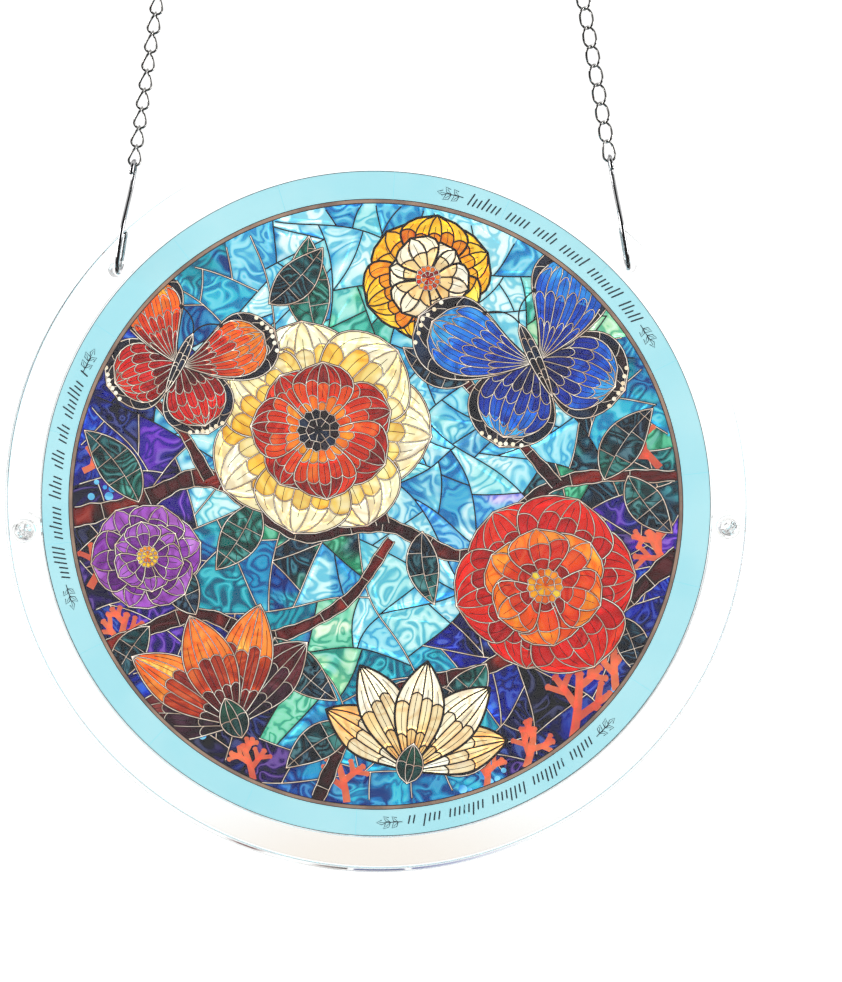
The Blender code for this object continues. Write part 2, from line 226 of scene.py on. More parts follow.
def glassSwirl():
    # marbled glass: two tones in soft patches, thin pale and dark folds, and a shade towards the cell's rim
    inputs = [(label, "Color") for label in ("Colour", "Other", "Shade Tint")]
    numbers = ("Cell", "Rim", "Scale", "Light", "Dark", "Rim Shade", "Richness")
    inputs += [(label, "Float") for label in numbers]
    group, given, result = shaderGroup("glassSwirl", inputs, [("Colour", "Color")])
    shift = put(group, "ShaderNodeCombineXYZ", {0: given["Cell"], 2: given["Cell"]})
    moved = put(group, "ShaderNodeVectorMath", {0: objectPlace(group), 1: shift}, operation="ADD")
    folds = noise(group, moved, given["Scale"], 1.5, 1.0)
    patch = noise(group, moved, 95.0, 1.0, 0.6)
    toned = blend(group, remap(group, patch, 0.40, 0.60, kind="SMOOTHSTEP"), given["Colour"], given["Other"])
    wave = maths(group, "SINE", maths(group, "MULTIPLY", folds, 38.0))
    fade = remap(group, patch, 0.36, 0.58, 0.25)
    pale = remap(group, wave, 0.30, 1.0, 0.0, given["Light"], "SMOOTHSTEP")
    deep = remap(group, wave, 0.1, -1.0, 0.0, given["Dark"], "SMOOTHSTEP")
    sunk = put(group, "ShaderNodeGamma", {"Color": toned, "Gamma": 1.9})
    darker = blend(group, 1.0, sunk, given["Shade Tint"], "MULTIPLY")
    shaded = blend(group, deep, toned, darker)
    lifted = put(group, "ShaderNodeGamma", {"Color": toned, "Gamma": 0.55})
    lighter = blend(group, 0.12, lifted, (0.9, 1.0, 1.0, 1.0))
    streaked = blend(group, maths(group, "MULTIPLY", pale, fade), shaded, lighter)
    rim = maths(group, "MULTIPLY", maths(group, "POWER", given["Rim"], 1.8), given["Rim Shade"])
    rimmed = blend(group, rim, streaked, darker)
    rich = put(group, "ShaderNodeGamma", {"Color": rimmed, "Gamma": given["Richness"]})
    group.links.new(rich, result["Colour"])
    return group


wearGroup = handlingWear()
smearGroup = faintSmears()
swirlGroup = glassSwirl()


def newMaterial(name, **values):
    made = bpy.data.materials.new(name)
    made.use_nodes = True
    shader = made.node_tree.nodes["Principled BSDF"]
    for socket, value in values.items():
        shader.inputs[socket.replace("_", " ")].default_value = value
    return made, made.node_tree, shader


def useGroup(tree, group, values):
    return addNode(tree, "ShaderNodeGroup", values, node_tree=group).outputs


caughtAfter = 4.5       # light caught between clear faces leaves after so many turns, or the rim goes black


def clearMaterial(name, colour, bend, smear, low, high):
    # see-through by plain values. Lamps shine through it
    made, tree, shader = newMaterial(name, Base_Color=(*colour, 1.0), IOR=bend, Transmission_Weight=1.0)
    shader.distribution = "GGX"
    wear = useGroup(tree, smearGroup, {"Scale": smear, "Low": low, "High": high})
    tree.links.new(wear["Roughness"], shader.inputs["Roughness"])
    ways = addNode(tree, "ShaderNodeLightPath").outputs
    lamp = maths(tree, "MAXIMUM", ways["Is Shadow Ray"], ways["Is Diffuse Ray"])
    either = maths(tree, "MAXIMUM", lamp, maths(tree, "GREATER_THAN", ways["Ray Depth"], caughtAfter))
    through = put(tree, "ShaderNodeBsdfTransparent", {"Color": (*colour, 1.0)})
    mixed = put(tree, "ShaderNodeMixShader", {0: either, 1: shader.outputs[0], 2: through})
    tree.links.new(mixed, tree.nodes["Material Output"].inputs["Surface"])
    return made


def steelMaterial(name, colour, low, high):
    made, tree, shader = newMaterial(name, Base_Color=(*colour, 1.0), Metallic=1.0)
    values = {"Smear Scale": 220.0, "Scratch Scale": 2500.0, "Low": low, "High": high}
    wear = useGroup(tree, wearGroup, values)
    relief = put(tree, "ShaderNodeBump", {"Height": wear["Height"], "Strength": 0.15, "Distance": 0.00002})
    tree.links.new(wear["Roughness"], shader.inputs["Roughness"])
    tree.links.new(relief, shader.inputs["Normal"])
    return made


printFinish = {
    "glow": 1.0,            # share of its colour that the print gives off, as if lit from behind
    "richness": 1.55,       # above 1 deepens the tones of the glass
    "roughness": 0.4,
    "gloss": 0.0,           # the clear cover in front of it has the shine
}


def printed(name, glow):
    finish = {"Roughness": printFinish["roughness"], "Specular_IOR_Level": printFinish["gloss"]}
    return newMaterial(name, Emission_Strength=glow, **finish)


def colourWith(tree, shader, colour):
    for socket in ("Base Color", "Emission Color"):
        tree.links.new(colour, shader.inputs[socket])


def printMaterial(name, light, dark, rim, scale, tint):
    # ink colour and cell number come in the glassColour attribute, rim is 1 at a cell's edge
    made, tree, shader = printed(name, printFinish["glow"])
    ink, other, edge = (
        addNode(tree, "ShaderNodeAttribute", attribute_name=label).outputs
        for label in ("glassColour", "glassOther", "rim")
    )
    values = {"Colour": ink["Color"], "Other": other["Color"], "Cell": ink["Alpha"], "Rim": edge["Fac"]}
    values |= {"Scale": scale, "Light": light, "Dark": dark, "Rim Shade": rim, "Shade Tint": (*tint, 1.0)}
    values["Richness"] = printFinish["richness"]
    colourWith(tree, shader, useGroup(tree, swirlGroup, values)["Colour"])
    return made


def inkMaterial(name, colour, other, scale, glow):
    # one ink that varies a little between two tones
    made, tree, shader = printed(name, glow)
    share = remap(tree, noise(tree, objectPlace(tree), scale, 3.0), 0.38, 0.62)
    colourWith(tree, shader, blend(tree, share, (*linear(colour), 1.0), (*linear(other), 1.0)))
    return made


clearAcrylic = clearMaterial("clearAcrylic", (0.985, 0.995, 0.995), 1.49, 30.0, 0.0, 0.03)
clearPlastic = clearMaterial("clearPlastic", (0.975, 0.975, 0.97), 1.24, 300.0, 0.05, 0.16)
brightSteel = steelMaterial("brightSteel", (0.62, 0.62, 0.63), 0.10, 0.24)
chainSteel = steelMaterial("chainSteel", (0.60, 0.59, 0.57), 0.16, 0.34)
backGlass = printMaterial("backGlass", 0.80, 0.80, 0.75, 120.0, (0.45, 0.78, 0.95))
figureGlass = printMaterial("figureGlass", 0.25, 0.35, 0.60, 80.0, (0.80, 0.66, 0.60))
leadInk = inkMaterial("leadInk", (12, 6, 12), (30, 16, 18), 300.0, 0.5)
inlayInk = inkMaterial("inlayInk", (248, 236, 222), (206, 178, 156), 260.0, 0.95)
bandInk = inkMaterial("bandInk", (168, 229, 239), (180, 234, 242), 40.0, 0.85)
sprigInk = inkMaterial("sprigInk", (206, 82, 62), (236, 122, 80), 110.0, 0.85)
markInk = inkMaterial("markInk", (16, 34, 44), (30, 50, 60), 200.0, 0.85)
seamInk = inkMaterial("seamInk", (136, 204, 218), (150, 214, 226), 200.0, 0.85)
ringInk = inkMaterial("ringInk", (128, 104, 92), (166, 136, 116), 120.0, 0.85)


# Clear case

caseShape = {
    "segments": 240,
    "rimRound": 0.0004,
    "edgeHold": 0.00006,    # a narrow strip beside the rounding keeps the flats truly flat
    "roundSteps": 4,
    "holeSegments": 48,
    "holeDiameter": 0.0044,
    "holeWall": 0.0008,
    "holeAngleDeg": 46.35,
    "boreDiameter": 0.0044,
    "sharpDeg": 32,         # edges bent by more than this stay sharp
}


def around(centre, ring, startDeg=0.0):
    # places (radius, y) pairs one after another round an axis along Y
    loop = []
    for k, (radius, y) in enumerate(ring):
        a = math.radians(startDeg) + 2 * math.pi * k / len(ring)
        loop.append((centre[0] + radius * math.cos(a), y, centre[1] + radius * math.sin(a)))
    return loop


def skin(loops, bm, closed=False):
    # faces from loop to loop, and over both ends unless the last loop meets the first
    loops = [[bm.verts.new(p) for p in loop] for loop in loops]
    following = loops[1:] + (loops[:1] if closed else [])
    for front, back in zip(loops, following):
        for k in range(len(front)):
            n = (k + 1) % len(front)
            bm.faces.new((front[k], front[n], back[n], back[k]))
    if not closed:
        bm.faces.new(loops[0])
        bm.faces.new(loops[-1])
    return bm


def turnedMesh(profile, segments, centre, bm):
    # a closed solid turned about an axis along Y, from (radius, y) points, front to back
    return skin([around(centre, [point] * segments) for point in profile], bm)


def solid(name, bm, material):
    bmesh.ops.recalc_face_normals(bm, faces=bm.faces)
    mesh = bpy.data.meshes.new(name)
    bm.to_mesh(mesh)
    bm.free()
    made = addObject(name, mesh)
    if material:
        mesh.materials.append(material)
    return made


def smooth(obj, degrees):
    obj.data.shade_smooth()
    obj.data.set_sharp_from_angle(angle=math.radians(degrees))
    return obj


def rimArc(y, inward):
    # a rounded rim that ends flush with the flat at y. inward is 1 at the front and -1 at the back
    radius = caseShape["rimRound"]
    hold = caseShape["edgeHold"]
    points = [(caseRadius - radius - hold, y)]
    for k in range(caseShape["roundSteps"] + 1):
        a = math.pi / 2 * k / caseShape["roundSteps"]
        out = caseRadius - radius * (1 - math.sin(a))
        points.append((out, y + inward * radius * (1 - math.cos(a))))
    points.append((caseRadius, y + inward * (radius + hold)))
    return points


def holePlace(side):
    ring = recessRadius + caseShape["holeWall"] + caseShape["holeDiameter"] / 2
    place = onCircle(ring, 90.0 - caseShape["holeAngleDeg"])
    return Vector((side * place.x, caseMiddle.z + place.y))


def screwPlace(name):
    low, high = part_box(name)
    return Vector(((low.x + high.x) / 2, (low.z + high.z) / 2))


def drills(bm):
    past = 0.02
    bores = [(caseShape["holeDiameter"] / 2, holePlace(side)) for side in (-1, 1)]
    bores += [(caseShape["boreDiameter"] / 2, screwPlace(name)) for name in ("screw_left", "screw_right")]
    for radius, place in bores:
        turnedMesh([(radius, -past), (radius, past)], caseShape["holeSegments"], place, bm)
    return bm


def cutAndFreeze(obj, cutter):
    modifier = obj.modifiers.new("drilled", "BOOLEAN")
    modifier.operation = "DIFFERENCE"
    modifier.object = cutter
    freeze(obj)
    drop(cutter)
    return smooth(obj, caseShape["sharpDeg"])


def makeCase():
    middle = (caseMiddle.x, caseMiddle.z)
    count = caseShape["segments"]
    coverProfile = rimArc(coverLow.y, 1) + [(caseRadius, coverHigh.y)]
    cover = solid("coverVisual", turnedMesh(coverProfile, count, middle, bmesh.new()), clearAcrylic)
    cutAndFreeze(cover, solid("coverCutter", drills(bmesh.new()), None))
    trayProfile = [(caseRadius, trayLow.y)] + rimArc(trayHigh.y, -1)[::-1]
    tray = solid("trayVisual", turnedMesh(trayProfile, count, middle, bmesh.new()), clearAcrylic)
    cutter = drills(bmesh.new())
    turnedMesh([(recessRadius, coverLow.y), (recessRadius, recessFloor)], count, middle, cutter)
    cutAndFreeze(tray, solid("trayCutter", cutter, None))
    finishPiece(cover, ["front_cover"])
    finishPiece(tray, ["back_tray"])
    print("case:", len(cover.data.polygons), "and", len(tray.data.polygons), "faces")


# Screws and nuts

screwShape = {
    "headSteps": 7,
    "segments": 40,
    "crossLength": 0.0036,
    "crossWidth": 0.0009,
    "crossDepth": 0.0012,
    "crossTurnDeg": 38.0,
    "shankDiameter": 0.0038,
    "threadPitch": 0.0007,
    "threadDepth": 0.00025,
    "threadSteps": 4,
    "nutEdge": 0.00035,
    "nutSegments": 72,
    "tipTaper": 0.0004,
    "sharpDeg": 40,
    "nutSharpDeg": 25,
}


def screwBody(middle, head, seat, tail):
    # pan head, then a shank whose thread climbs along a helix
    count = screwShape["segments"]
    headRadius = (head[1].x - head[0].x) / 2
    height = seat - head[0].y
    rings = []
    for k in range(1, screwShape["headSteps"] + 1):
        a = math.pi / 2 * k / screwShape["headSteps"]
        rings.append([(headRadius * math.sin(a) ** 0.7, seat - height * math.cos(a) ** 1.2)] * count)
    shank = screwShape["shankDiameter"] / 2
    rings.append([(shank, seat)] * count)
    step = screwShape["threadPitch"] / screwShape["threadSteps"]
    turns = int((tail - seat - 2 * step) / step)
    for k in range(1, turns):
        ring = []
        for s in range(count):
            phase = (k / screwShape["threadSteps"] + s / count) % 1.0
            cut = screwShape["threadDepth"] * (1 - abs(2 * phase - 1)) * min(1.0, (turns - k) / 6)
            ring.append((shank - cut, seat + k * step))
        rings.append(ring)
    rings.append([(shank - screwShape["tipTaper"], tail)] * count)
    return skin([around(middle, ring) for ring in rings], bmesh.new())


def crossCutter(middle, top):
    # a cross recess that narrows towards its floor
    arm, half = screwShape["crossLength"] / 2, screwShape["crossWidth"] / 2
    rings = []
    for y, share in ((top - 0.002, 1.25), (top, 1.0), (top + screwShape["crossDepth"], 0.55)):
        ring = []
        for quarter in range(4):
            turn = Matrix.Rotation(math.pi / 2 * quarter + math.radians(screwShape["crossTurnDeg"]), 2)
            for point in ((arm, -half), (arm, half), (half, half)):
                at = turn @ Vector((point[0] * share, point[1] * (0.5 + share / 2)))
                ring.append((middle.x + at.x, y, middle.y + at.y))
        rings.append(ring)
    return skin(rings, bmesh.new())


def makeScrew(side):
    name = f"screw_{side}"
    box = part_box(name)
    middle = screwPlace(name)
    seat = coverLow.y - touchGap
    screw = solid(f"screwVisual_{side}", screwBody(middle, box, seat, box[1].y), clearPlastic)
    cutAndFreeze(screw, solid("crossCutter", crossCutter(middle, box[0].y), None))
    smooth(screw, screwShape["sharpDeg"])
    finishPiece(screw, [name])


def makeNut(side):
    low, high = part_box(f"nut_{side}")
    slope = math.cos(math.radians(30))
    corner = max((high.x - low.x) / 2 / slope, (high.z - low.z) / 2)
    flat = corner * slope
    edge, count = screwShape["nutEdge"], screwShape["nutSegments"]
    end = flat - edge / 3
    rings = []
    for y, most in ((low.y, end), (low.y + edge, corner), (high.y - edge, corner), (high.y, end)):
        ring = []
        for s in range(count):
            nearest = (2 * math.pi * s / count + math.pi / 6) % (math.pi / 3) - math.pi / 6
            ring.append((min(flat / math.cos(nearest), most), y))
        rings.append(ring)
    rings += [[(caseShape["boreDiameter"] / 2, y)] * count for y in (high.y, low.y)]
    loops = [around(screwPlace(f"nut_{side}"), ring, 60.0) for ring in rings]
    nut = solid(f"nutVisual_{side}", skin(loops, bmesh.new(), True), clearPlastic)
    smooth(nut, screwShape["nutSharpDeg"])
    finishPiece(nut, [f"nut_{side}"])


# Hooks, chains and rings. Each run has its own frame: Z points up along the run from the hole's middle.

runShape = {
    "leanDeg": 9.55,
    "hookWire": 0.00115,
    "hookLength": 0.0293,
    "hookCaseClearance": 0.00072,
    "hookUpperLoop": 0.0036,
    "hookTip": 0.0009,
    "hookFlare": 0.0006,
    "linkCount": 10,
    "linkLength": 0.0058,
    "linkWidth": 0.0037,
    "linkWire": 0.0006,
    "linkBite": 0.00012,
    "linkSteps": 10,
    "wireSides": 14,
    "facingDeg": {"left": 50.0, "right": 0.0},
    "twistDeg": 52.0,       # each way from the middle of a link
    "ringWire": 0.0012,
    "ringSegments": 64,
}


def wireTree():
    # round wire along every edge path, thinner where the thin attribute says, copied up the run
    sockets = {"Wire": "Float", "Sides": "Int", "Copies": "Int", "Pitch": "Float", "Material": "Material"}
    tree, given = newTree("wireRun", **sockets)
    path = put(tree, "GeometryNodeMeshToCurve", {"Mesh": given["Geometry"]})
    half = maths(tree, "MULTIPLY", given["Wire"], 0.5)
    ring = put(tree, "GeometryNodeCurvePrimitiveCircle", {"Resolution": given["Sides"], "Radius": half})
    thin = put(tree, "GeometryNodeInputNamedAttribute", {"Name": "thin"}, data_type="FLOAT")
    swept = {"Curve": path, "Profile Curve": ring, "Scale": thin, "Fill Caps": True}
    wire = put(tree, "GeometryNodeCurveToMesh", swept)
    offset = put(tree, "ShaderNodeCombineXYZ", {2: given["Pitch"]})
    row = put(tree, "GeometryNodeMeshLine", {"Count": given["Copies"], "Offset": offset})
    copies = put(tree, "GeometryNodeInstanceOnPoints", {"Points": row, "Instance": wire})
    shaded = put(tree, "GeometryNodeSetShadeSmooth", {"Geometry": copies})
    return closeTree(tree, shaded, given["Material"])


def wirePath(name, points, closed, tip=0.0):
    # edge path with a thin attribute that rounds both ends off over the length tip
    count = len(points)
    edges = [(k, k + 1) for k in range(count - 1)]
    if closed:
        edges.append((count - 1, 0))
    mesh = meshOf(name, points, edges)
    thin = mesh.attributes.new("thin", "FLOAT", "POINT")
    along = [0.0]
    for before, after in zip(points, points[1:]):
        along.append(along[-1] + (Vector(after) - Vector(before)).length)
    for k in range(count):
        share = 1.0
        if tip:
            nearEnd = min(along[k], along[-1] - along[k]) / tip
            share = math.sqrt(max(0.0004, 1 - (1 - min(1.0, nearEnd)) ** 2))
        thin.data[k].value = share
    return addObject(name, mesh)


def arc(centre, radius, startDeg, endDeg, steps):
    return [centre + onCircle(radius, startDeg + (endDeg - startDeg) * k / steps) for k in range(steps + 1)]


def hookSizes():
    # the lower loop passes round the case, and the upper edge of the hole rests on its wire
    r = runShape
    thickness = trayHigh.y - coverLow.y
    low = thickness / 2 + r["hookCaseClearance"] + r["hookWire"] / 2
    holeTop = math.sqrt((caseShape["holeDiameter"] / 2) ** 2 - (r["hookWire"] / 2) ** 2)
    reach = low - r["hookWire"] / 2 - touchGap
    lowHeight = holeTop + math.sqrt(reach**2 - (thickness / 2) ** 2)
    high = (r["hookUpperLoop"] + r["hookWire"]) / 2
    highHeight = lowHeight - low + r["hookLength"] - r["hookWire"] - high
    return low, lowHeight, high, highHeight


def rimDistance():
    # how far above the hole a leaning run passes the rim of the case
    place = holePlace(-1) - Vector((0.0, caseMiddle.z))
    lean = math.radians(runShape["leanDeg"])
    along = place.x * math.sin(lean) + place.y * math.cos(lean)
    return math.sqrt(along**2 + caseRadius**2 - place.length_squared) - along


def hookLine():
    low, lowHeight, high, highHeight = hookSizes()
    rim = rimDistance()
    tip = runShape["hookTip"]
    line = []
    for k in range(13):
        share = k / 12
        eased = (1 - share) ** 2
        line.append(Vector((low + runShape["hookFlare"] * eased, rim + (lowHeight - rim) * share)))
    line += [p for p in arc(Vector((0.0, lowHeight)), low, 0.0, -180.0, 28)][1:]
    for k in range(1, 40):
        share = k / 39
        straight = max(0.0, (share - 0.18) / 0.82)
        eased = straight * straight * (3 - 2 * straight)
        line.append(Vector((-low + (low + high) * eased, lowHeight + (highHeight - lowHeight) * share)))
    line += arc(Vector((0.0, highHeight)), high, 0.0, 180.0, 28)[1:]
    for k in range(1, 6):
        share = k / 5
        line.append(Vector((-high - runShape["hookFlare"] * share**2, highHeight - tip * share)))
    return [Vector((0.0, p.x, p.y)) for p in line]


def linkLoop(middle, startDeg, endDeg):
    # one oval of wire whose flat side turns from its lower end to its upper end
    r = runShape
    half, side = (r["linkLength"] - r["linkWire"]) / 2, (r["linkWidth"] - r["linkWire"]) / 2
    bends = [math.pi * k / r["linkSteps"] for k in range(r["linkSteps"] + 1)]
    loop = [Vector((side * math.cos(a), half - side + side * math.sin(a))) for a in bends]
    straight = 4
    loop += [Vector((-side, (half - side) * (1 - 2 * k / straight))) for k in range(1, straight)]
    loop += [Vector((-p.x, -p.y)) for p in loop]
    points = []
    for p in loop:
        turn = math.radians(startDeg + (endDeg - startDeg) * (p.y + half) / (2 * half))
        points.append(Vector((p.x * math.cos(turn), p.x * math.sin(turn), middle + p.y)))
    return points


def toWorld(side):
    sign = -1 if side == "left" else 1
    place = holePlace(sign)
    lean = Matrix.Rotation(math.radians(-sign * runShape["leanDeg"]), 4, "Y")
    return Matrix.Translation((place.x, 0.0, place.y)) @ lean


def makeRun(side, tree):
    r = runShape
    place = toWorld(side)
    low, lowHeight, high, highHeight = hookSizes()
    sizes = {"Wire": r["hookWire"], "Sides": r["wireSides"] + 4, "Copies": 1, "Pitch": 0.0}
    hook = wirePath(f"hookVisual_{side}", hookLine(), False, r["hookWire"] / 2)
    grow(hook, tree, {**sizes, "Material": brightSteel})

    half = (r["linkLength"] - r["linkWire"]) / 2
    first = highHeight + high - r["hookWire"] / 2 - touchGap - r["linkWire"] / 2 + half
    pitch = 2 * half - r["linkWire"] + r["linkBite"]
    last = first + (r["linkCount"] - 1) * pitch
    facing, twist = r["facingDeg"][side], r["twistDeg"]
    sizes = {"Wire": r["linkWire"], "Sides": r["wireSides"], "Pitch": pitch, "Material": chainSteel}
    parts = []
    for name, height, startDeg, endDeg, copies in (
        ("first", first, 0.0, facing + twist, 1),
        ("middle", first + pitch, facing - twist, facing + twist, r["linkCount"] - 2),
        ("last", last, facing - twist, 90.0, 1),
    ):
        part = wirePath(f"{name}Links", linkLoop(height, startDeg, endDeg), True)
        parts.append(grow(part, tree, {**sizes, "Copies": copies}))
    chain = joinAs(f"chainVisual_{side}", parts)

    ringLow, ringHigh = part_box(f"ring_{side}")
    radius = ((ringHigh.z - ringLow.z) - r["ringWire"]) / 2
    ringMiddle = last + half - r["linkWire"] / 2 - touchGap - r["ringWire"] / 2 + radius
    loop = arc(Vector((0.0, ringMiddle)), radius, 0.0, 360.0, r["ringSegments"])[:-1]
    ring = wirePath(f"ringVisual_{side}", [Vector((p.x, 0.0, p.y)) for p in loop], True)
    sizes = {"Wire": r["ringWire"], "Sides": r["wireSides"] + 4, "Copies": 1}
    grow(ring, tree, {**sizes, "Material": brightSteel})
    pieces = {"hook": (hook, "bright_steel"), "chain": (chain, "chain_steel"), "ring": (ring, "bright_steel")}
    for node, (piece, slot) in pieces.items():
        piece.data.transform(place)
        finishPiece(piece, [f"{node}_{side}"])


def joinAs(name, objects):
    bm = bmesh.new()
    for obj in objects:
        bm.from_mesh(obj.data)
    mesh = bpy.data.meshes.new(name)
    bm.to_mesh(mesh)
    bm.free()
    for material in objects[0].data.materials:
        mesh.materials.append(material)
    drop(*objects)
    return addObject(name, mesh)


makeCase()
for side in ("left", "right"):
    makeScrew(side)
    makeNut(side)
runTree = wireTree()
for side in ("left", "right"):
    makeRun(side, runTree)
print("hardware done")


# Puzzle pieces keep the solids of the frame

bodySpots = inkMaterial("puzzleCore", (206, 234, 240), (226, 244, 247), 60.0, 0.6)
for name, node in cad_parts.items():
    if name.startswith("puzzle_"):
        node.data.materials.clear()
        node.data.materials.append(bodySpots)


# Printed picture: cells of coloured glass between leads, worked out flat and then laid on the puzzle's front

pictureShape = {
    "radius": 77.2,
    "baseHeight": 0.03,
    "layerStep": 0.0035,
    "backHeight": 0.45,     # thickness of the layers behind, as a share of those in front
    "leadWidth": 0.56,
    "inlayShare": 0.32,
    "rimDepth": 1.3,
    "cellArea": 78.0,       # square millimetres at the top, twice that near the foot
    "sway": 2.4,
    "seed": 21,
}

palette = {
    "aqua": [(168, 228, 238), (130, 210, 230), (206, 241, 242), (92, 190, 220), (190, 236, 236),
             (226, 246, 244)],
    "mint": [(160, 226, 200), (206, 238, 206), (112, 206, 190), (178, 232, 224), (228, 244, 220)],
    "turquoise": [(34, 168, 204), (18, 140, 190), (78, 200, 220), (24, 176, 190), (16, 110, 178)],
    "deepBlue": [(18, 62, 170), (14, 40, 130), (30, 98, 204), (22, 24, 104), (34, 60, 182)],
    "violet": [(92, 34, 164), (122, 62, 190), (58, 20, 116), (46, 40, 156), (142, 84, 204)],
    "indigo": [(24, 22, 94), (18, 16, 64), (54, 24, 116), (20, 46, 132), (76, 30, 130)],
    "teal": [(20, 124, 134), (12, 92, 112), (46, 158, 152), (120, 204, 172), (14, 74, 100)],
    "lilac": [(190, 190, 236), (150, 190, 232), (222, 204, 242), (132, 204, 232), (206, 238, 240)],
    "bark": [(128, 34, 34), (104, 24, 32), (168, 62, 46), (84, 20, 30)],
    "leaf": [(18, 88, 98), (12, 64, 84), (26, 118, 116), (20, 50, 80), (60, 150, 136)],
    "sprig": [(214, 84, 62), (244, 140, 84)],
    "bead": [(84, 176, 232), (150, 216, 244)],
}
pale = ("aqua", "mint", "lilac")

# Broad areas of the background: across, up, palette
zones = [

    (0, 66, "aqua"), (-24, 56, "aqua"), (28, 58, "aqua"), (-6, 44, "mint"), (14, 30, "aqua"),
    (38, 22, "aqua"), (50, 52, "mint"), (66, 30, "turquoise"), (60, 6, "teal"), (-44, 60, "turquoise"),
    (-62, 44, "deepBlue"), (-70, 22, "deepBlue"), (-58, 8, "violet"), (-42, 22, "aqua"),
    (-30, 40, "aqua"), (-72, -14, "indigo"), (-54, -34, "violet"), (-22, -2, "teal"),
    (-34, -18, "turquoise"), (22, -12, "lilac"), (6, -26, "aqua"), (16, 6, "aqua"),
    (12, -44, "turquoise"), (62, -10, "violet"), (70, -26, "deepBlue"), (56, -48, "deepBlue"),
    (-36, -60, "indigo"), (-14, -68, "turquoise"), (12, -68, "turquoise"), (36, -62, "indigo"),
    (-44, -44, "deepBlue"), (24, -34, "deepBlue"), (-14, -38, "mint"), (-66, -32, "deepBlue"),
]

red = [(112, 12, 26), (186, 22, 30), (222, 40, 32), (232, 84, 40)]
ember = [(150, 26, 26), (220, 70, 30), (244, 134, 40), (250, 190, 66)]
gold = [(206, 96, 22), (244, 160, 36), (252, 206, 52), (253, 232, 112)]
cream = [(240, 204, 140), (250, 232, 190), (252, 244, 222), (252, 250, 238)]
blue = [(12, 26, 100), (14, 62, 168), (28, 120, 214), (92, 194, 236)]
plum = [(62, 16, 84), (116, 36, 134), (166, 84, 190), (212, 160, 226)]
sunny = [(246, 176, 40), (252, 212, 84), (252, 240, 196), (252, 248, 230)]
copper = [(84, 20, 34), (170, 52, 32), (236, 136, 48), (250, 204, 116)]
shadow = [(50, 18, 50), (92, 34, 66), (150, 60, 52)]
dusk = [(70, 20, 34), (40, 28, 48), (24, 60, 96), (60, 26, 34)]
cup = [(18, 74, 78), (50, 120, 96)]


def newSheet():
    return {"fills": [], "lines": [], "height": pictureShape["baseHeight"]}


def lift(sheet):
    sheet["height"] += pictureShape["layerStep"]


def area(points):
    total = 0.0
    for k, p in enumerate(points):
        q = points[(k + 1) % len(points)]
        total += p.x * q.y - q.x * p.y
    return total / 2


def middleOf(points):
    return sum(points, Vector((0.0, 0.0))) / len(points)


def thinned(points, least):
    # drops points that lie closer together than least
    kept = []
    for p in points:
        if not kept or (p - kept[-1]).length > least:
            kept.append(p)
    while len(kept) > 2 and (kept[0] - kept[-1]).length <= least:
        kept.pop()
    return kept


def keptSide(polygon, normal, limit):
    # the part of a polygon where p . normal is below limit
    kept = []
    for k, p in enumerate(polygon):
        q = polygon[(k + 1) % len(polygon)]
        below, nextBelow = p.dot(normal) <= limit, q.dot(normal) <= limit
        if below:
            kept.append(p)
        if below != nextBelow:
            kept.append(p + (q - p) * (limit - p.dot(normal)) / (q - p).dot(normal))
    return kept


def insideCircle(points):
    radius = pictureShape["radius"]
    if all(p.length <= radius for p in points):
        return points
    for degrees in range(0, 360, 3):
        if len(points) > 2:
            points = keptSide(points, onCircle(1.0, degrees), radius)
    return points


def fill(sheet, points, colours, finish=0, rim=1.0):
    points = thinned(insideCircle(points), 0.08)
    if len(points) < 3 or abs(area(points)) < 0.06:
        return
    if area(points) < 0:
        points = points[::-1]
    sheet["fills"].append((points, sheet["height"], colours, finish, rim))


def line(sheet, points, width=1.0, inlay=True):
    # keeps what lies inside the picture, in one or more runs
    runs, run = [], []
    for p in points:
        if p.length <= pictureShape["radius"]:
            run.append(p)
        elif run:
            runs.append(run)
            run = []
    runs.append(run)
    for run in runs:
        if len(run) > 1:
            sheet["lines"].append((run, sheet["height"], width, inlay))


def insetPoints(points, by):
    moved = []
    count = len(points)
    for k, p in enumerate(points):
        before = (p - points[k - 1]).normalized()
        after = (points[(k + 1) % count] - p).normalized()
        inwards = Vector((-before.y - after.y, before.x + after.x))
        moved.append(p + inwards * by / max(0.5, 1 + before.dot(after)))
    return moved


def fillsObject(name, sheet, finishes, dice):
    # each cell is a core and a rim round it, so that the glass can darken towards its lead
    points, faces, tones, others, rims, kinds = [], [], [], [], [], []
    for outline, height, colours, finish, rim in sheet["fills"]:
        count = len(outline)
        perimeter = sum((outline[k] - outline[k - 1]).length for k in range(count))
        inset = min(pictureShape["rimDepth"], 0.42 * 2 * area(outline) / perimeter)
        first = len(points)
        cell = dice.random()
        for ring, rimValue in ((outline, rim), (insetPoints(outline, inset), 0.0)):
            points += [(p.x * mm, p.y * mm, height * mm) for p in ring]
            tones += [*linear(colours[0]), cell] * count
            others += [*linear(colours[1]), 1.0] * count
            rims += [rimValue] * count
        for k in range(count):
            following = (k + 1) % count
            faces.append((first + k, first + following, first + count + following, first + count + k))
        faces.append(tuple(range(first + count, first + 2 * count)))
        kinds += [finish] * (count + 1)
    mesh = meshOf(name, points, (), faces)
    for label, values in (("glassColour", tones), ("glassOther", others)):
        mesh.attributes.new(label, "FLOAT_COLOR", "POINT").data.foreach_set("color", values)
    mesh.attributes.new("rim", "FLOAT", "POINT").data.foreach_set("value", rims)
    for finish in finishes:
        mesh.materials.append(finish)
    mesh.polygons.foreach_set("material_index", kinds)
    return addObject(name, mesh)


